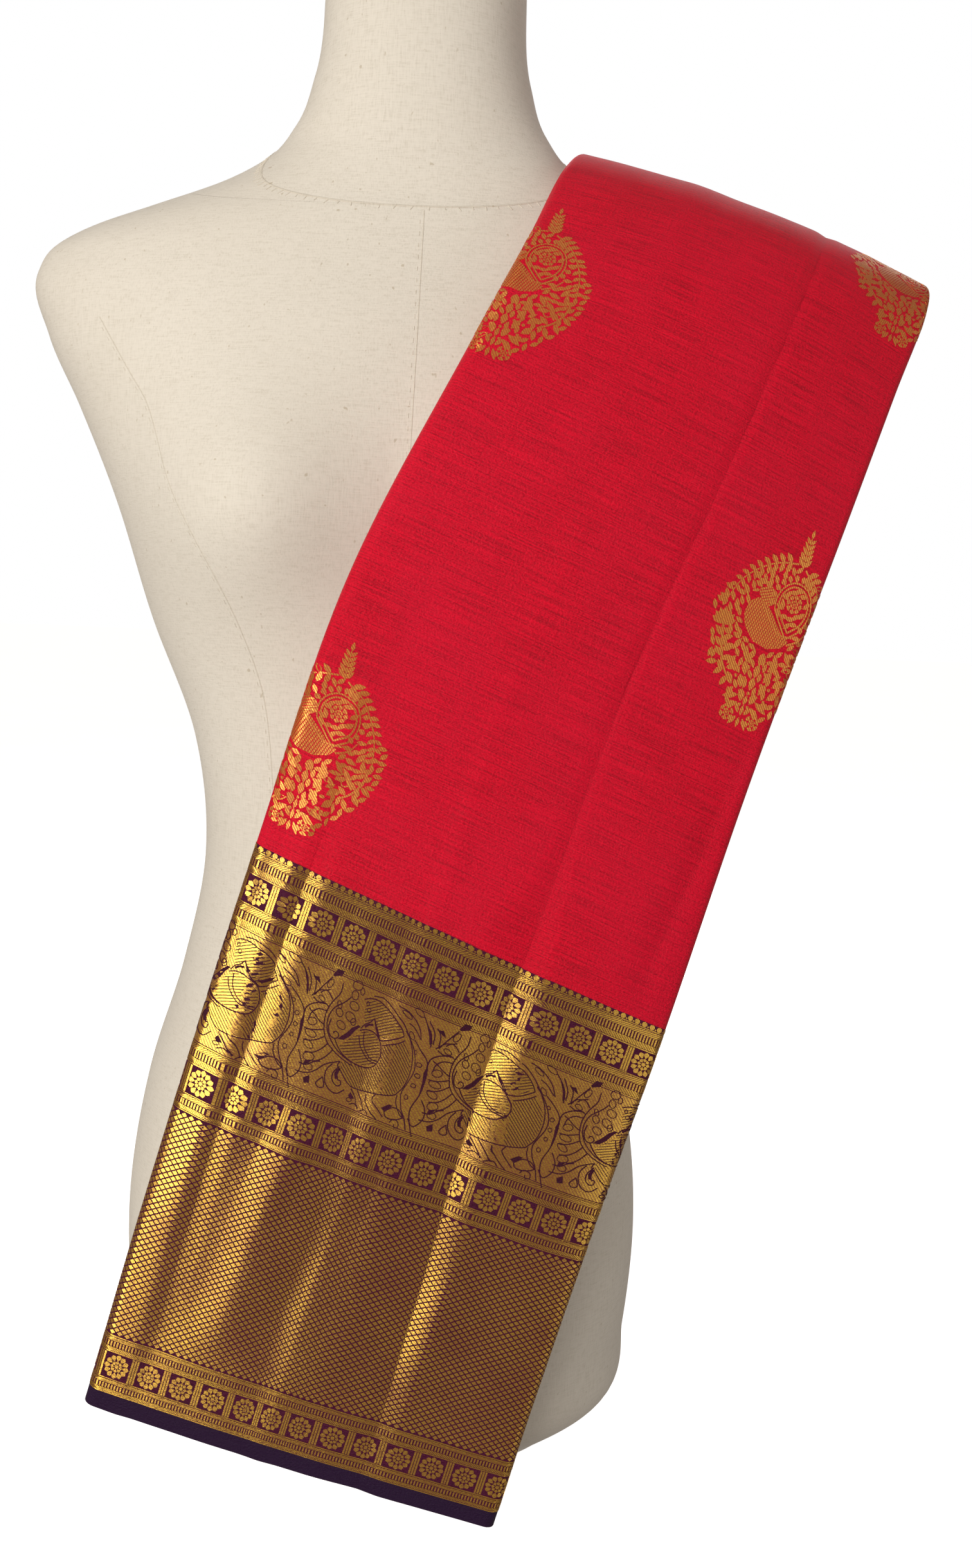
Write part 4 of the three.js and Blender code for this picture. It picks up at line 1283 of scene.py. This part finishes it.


# Seams of the form's cover: x and z of points down each one, on the front and back.
# Most of the front points above 420 are ones that a measuring program printed, typed in
# here. The others were chosen.
SIDE_FRONT = [(-136, 582), (-123, 562), (-110, 527), (-97, 503), (-85, 481), (-74, 457),
              (-63, 424), (-58, 380), (-56, 340), (-58, 290), (-62, 220), (-66, 130),
              (-64, 60)]
SIDE_BACK = [(-150, 606), (-118, 560), (-92, 500), (-70, 430), (-58, 380), (-54, 340),
             (-60, 280), (-68, 200), (-70, 120), (-66, 60)]
SEAMS = [
    ("front", [(6, 663), (6, 632), (6, 588), (5, 520), (3, 440), (2, 340), (2, 220),
               (2, 90), (2, 46)]),
    ("front", [(-153, 608)] + SIDE_FRONT),
    ("front", [(160, 600)] + other_side(SIDE_FRONT)),
    ("back", [(0, 700), (0, 640), (0, 560), (0, 460), (0, 340), (0, 220), (0, 90), (0, 46)]),
    ("back", SIDE_BACK),
    ("back", other_side(SIDE_BACK)),
]


def form_skin(angle, z):
    """Point and normal of the form at an angle round it and a height."""
    here = form_point(angle, z)
    around = form_point(angle + 0.004, z) - form_point(angle - 0.004, z)
    up = form_point(angle, z + 1) - form_point(angle, z - 1)
    normal = unit(np.cross(around, up))
    flip = np.sign(np.sum(normal * here * np.array([1, 1, 0]), -1, keepdims=True))
    return here, normal * flip


def neck_line(angle):
    """Height of the hand-sewn seam round the base of the neck."""
    from_front = np.abs((angle + math.pi) % (2 * math.pi) - math.pi)
    return NECK_STITCHES + 38 * smoothstep(from_front, 0, 1.5)


def tube(path, normals, half_width, height, sink):
    """Points and faces of a low closed welt along a path on a surface."""
    run = unit(np.gradient(path, axis=0))
    side = unit(np.cross(run, normals))
    a = np.linspace(0, 2 * math.pi, 8, endpoint=False)
    ring = (side[:, None] * (half_width * np.cos(a))[None, :, None]
            + normals[:, None] * (height * np.sin(a) - sink)[None, :, None])
    points = path[:, None] + ring
    rows = len(path)
    faces = grid_faces(rows, 8, closed=True)
    faces += [list(range(7, -1, -1)), list(range((rows - 1) * 8, rows * 8))]
    return points.reshape(-1, 3), faces


def make_seams():
    points, faces = [], []

    def add(part):
        start = sum(len(p) for p in points)
        points.append(part[0])
        faces.extend([[i + start for i in f] for f in part[1]])

    for where, knots in SEAMS:
        knots = np.array(knots, float)
        rows = np.column_stack([np.arange(len(knots)), knots])
        fine = row_at(rows, np.linspace(0, len(knots) - 1, 1200))
        length = np.concatenate([[0], np.cumsum(np.linalg.norm(np.diff(fine, axis=0), axis=1))])
        even = np.arange(0, length[-1], 3.0)
        x, z = (np.interp(even, length, fine[:, k]) for k in (0, 1))
        here, normal = form_skin(form_angle(x, z, where == "front"), z)
        add(tube(here, normal, 0.42, 0.26, 0.12))
        run = unit(np.gradient(here, axis=0))
        side = unit(np.cross(run, normal))
        for k in range(2, len(even) - 2, 2):
            offset = rng.uniform(-0.15, 0.15)
            middle = here[k] + side[k] * (1.7 + offset)
            path = np.array([middle - run[k] * 1.1, middle, middle + run[k] * 1.1])
            add(tube(path, np.repeat(normal[k][None], 3, 0), 0.2, 0.16, 0.02))
    angle = np.linspace(0, 2 * math.pi, 241)
    here, normal = form_skin(angle, neck_line(angle))
    add(tube(here, normal, 0.6, 0.42, 0.1))
    for k, a in enumerate(np.linspace(0, 2 * math.pi, 160, endpoint=False)):
        angle = a + np.array([-0.003, 0, 0.003]) * math.cos(5.1 * k)
        height = neck_line(a) - np.array([2.0, 0.9, -0.2]) + 0.3 * math.sin(9.7 * k)
        here, normal = form_skin(angle, height)
        add(tube(here, normal, 0.26, 0.3, 0.02))
    obj = add_mesh("form_seams", np.vstack(points), faces, sharp=70)
    finish_piece(obj, thread, "linen")


make_form()
make_seams()
make_inner()
make_cloth()


# ---- floor, light and camera ----------------------------------------------------------------------

def make_floor():
    mesh = bpy.data.meshes.new("floor")
    mesh.from_pydata([(-30, -30, 0), (30, -30, 0), (30, 30, 0), (-30, 30, 0)], [], [(0, 1, 2, 3)])
    floor = bpy.data.objects.new("floor", mesh)
    bpy.context.scene.collection.objects.link(floor)
    n = Nodes("floor")
    tone = n.ramp(n.noise((3, 3, 3), 2, None), (0.3, (0.86, 0.86, 0.86)), (0.7, (0.9, 0.9, 0.9)))
    n.link(tone, n.shader.inputs["Base Color"])
    n.shader.inputs["Roughness"].default_value = 0.9
    n.shader.inputs["Specular IOR Level"].default_value = 0.1
    n.shader.inputs["Emission Color"].default_value = (1, 1, 1, 1)
    n.shader.inputs["Emission Strength"].default_value = 0.8
    mesh.materials.append(n.material)
    floor.visible_glossy = False
    floor.visible_diffuse = False


def area_light(name, place, target, size, power, color=(1, 1, 1)):
    data = bpy.data.lights.new(name, "AREA")
    data.shape = "RECTANGLE"
    data.size, data.size_y = size
    data.energy = power
    data.color = color
    light = bpy.data.objects.new(name, data)
    light.location = place
    light.rotation_euler = (Vector(target) - Vector(place)).to_track_quat("-Z", "Y").to_euler()
    bpy.context.scene.collection.objects.link(light)
    return light


def make_world():
    world = bpy.data.worlds.new("studio")
    bpy.context.scene.world = world
    world.use_nodes = True
    tree = world.node_tree
    seen = tree.nodes.new("ShaderNodeBackground")
    seen.inputs["Color"].default_value = (1, 1, 1, 1)
    seen.inputs["Strength"].default_value = 1.0
    fill = tree.nodes["Background"]
    fill.inputs["Color"].default_value = (1.0, 0.9, 0.82, 1)
    fill.inputs["Strength"].default_value = 0.26
    path = tree.nodes.new("ShaderNodeLightPath")
    mix = tree.nodes.new("ShaderNodeMixShader")
    tree.links.new(path.outputs["Is Camera Ray"], mix.inputs[0])
    tree.links.new(fill.outputs[0], mix.inputs[1])
    tree.links.new(seen.outputs[0], mix.inputs[2])
    tree.links.new(mix.outputs[0], tree.nodes["World Output"].inputs["Surface"])


def make_camera():
    pitch, roll = math.radians(6), math.radians(2.4)
    forward = Vector((0, math.cos(pitch), -math.sin(pitch)))
    right = Vector((1, 0, 0))
    up = right.cross(forward)
    r2 = right * math.cos(roll) + up * math.sin(roll)
    u2 = -right * math.sin(roll) + up * math.cos(roll)
    data = bpy.data.cameras.new("camera")
    data.sensor_fit = "VERTICAL"
    data.sensor_height = 36
    data.lens = 36 * 2450 / 2438
    data.clip_start, data.clip_end = 0.05, 30
    camera = bpy.data.objects.new("camera", data)
    turn = Matrix((r2, u2, -forward)).transposed()
    camera.matrix_world = Matrix.Translation((0.0475, -0.85, 0.468)) @ turn.to_4x4()
    bpy.context.scene.collection.objects.link(camera)
    bpy.context.scene.camera = camera


make_floor()
area_light("key", (-0.95, -1.55, 0.6), (0, 0, 0.42), (0.6, 1.8), 29, (1.0, 0.985, 0.96))
area_light("front", (-0.5, -1.93, 0.5), (0, 0, 0.4), (0.34, 1.6), 9, (1.0, 0.985, 0.96))
area_light("fill", (2.1, -0.9, 0.45), (0.05, 0, 0.35), (1.2, 1.6), 10, (0.96, 0.98, 1.0))
area_light("top", (0.1, -0.3, 2.0), (0, 0, 0.5), (1.0, 1.0), 1.5)
area_light("behind", (0.2, 1.8, 1.2), (0, 0, 0.45), (1.6, 1.2), 12)
make_world()
make_camera()

view = bpy.context.scene.view_settings
view.view_transform = "Standard"
view.look = "None"
view.exposure = 0.0
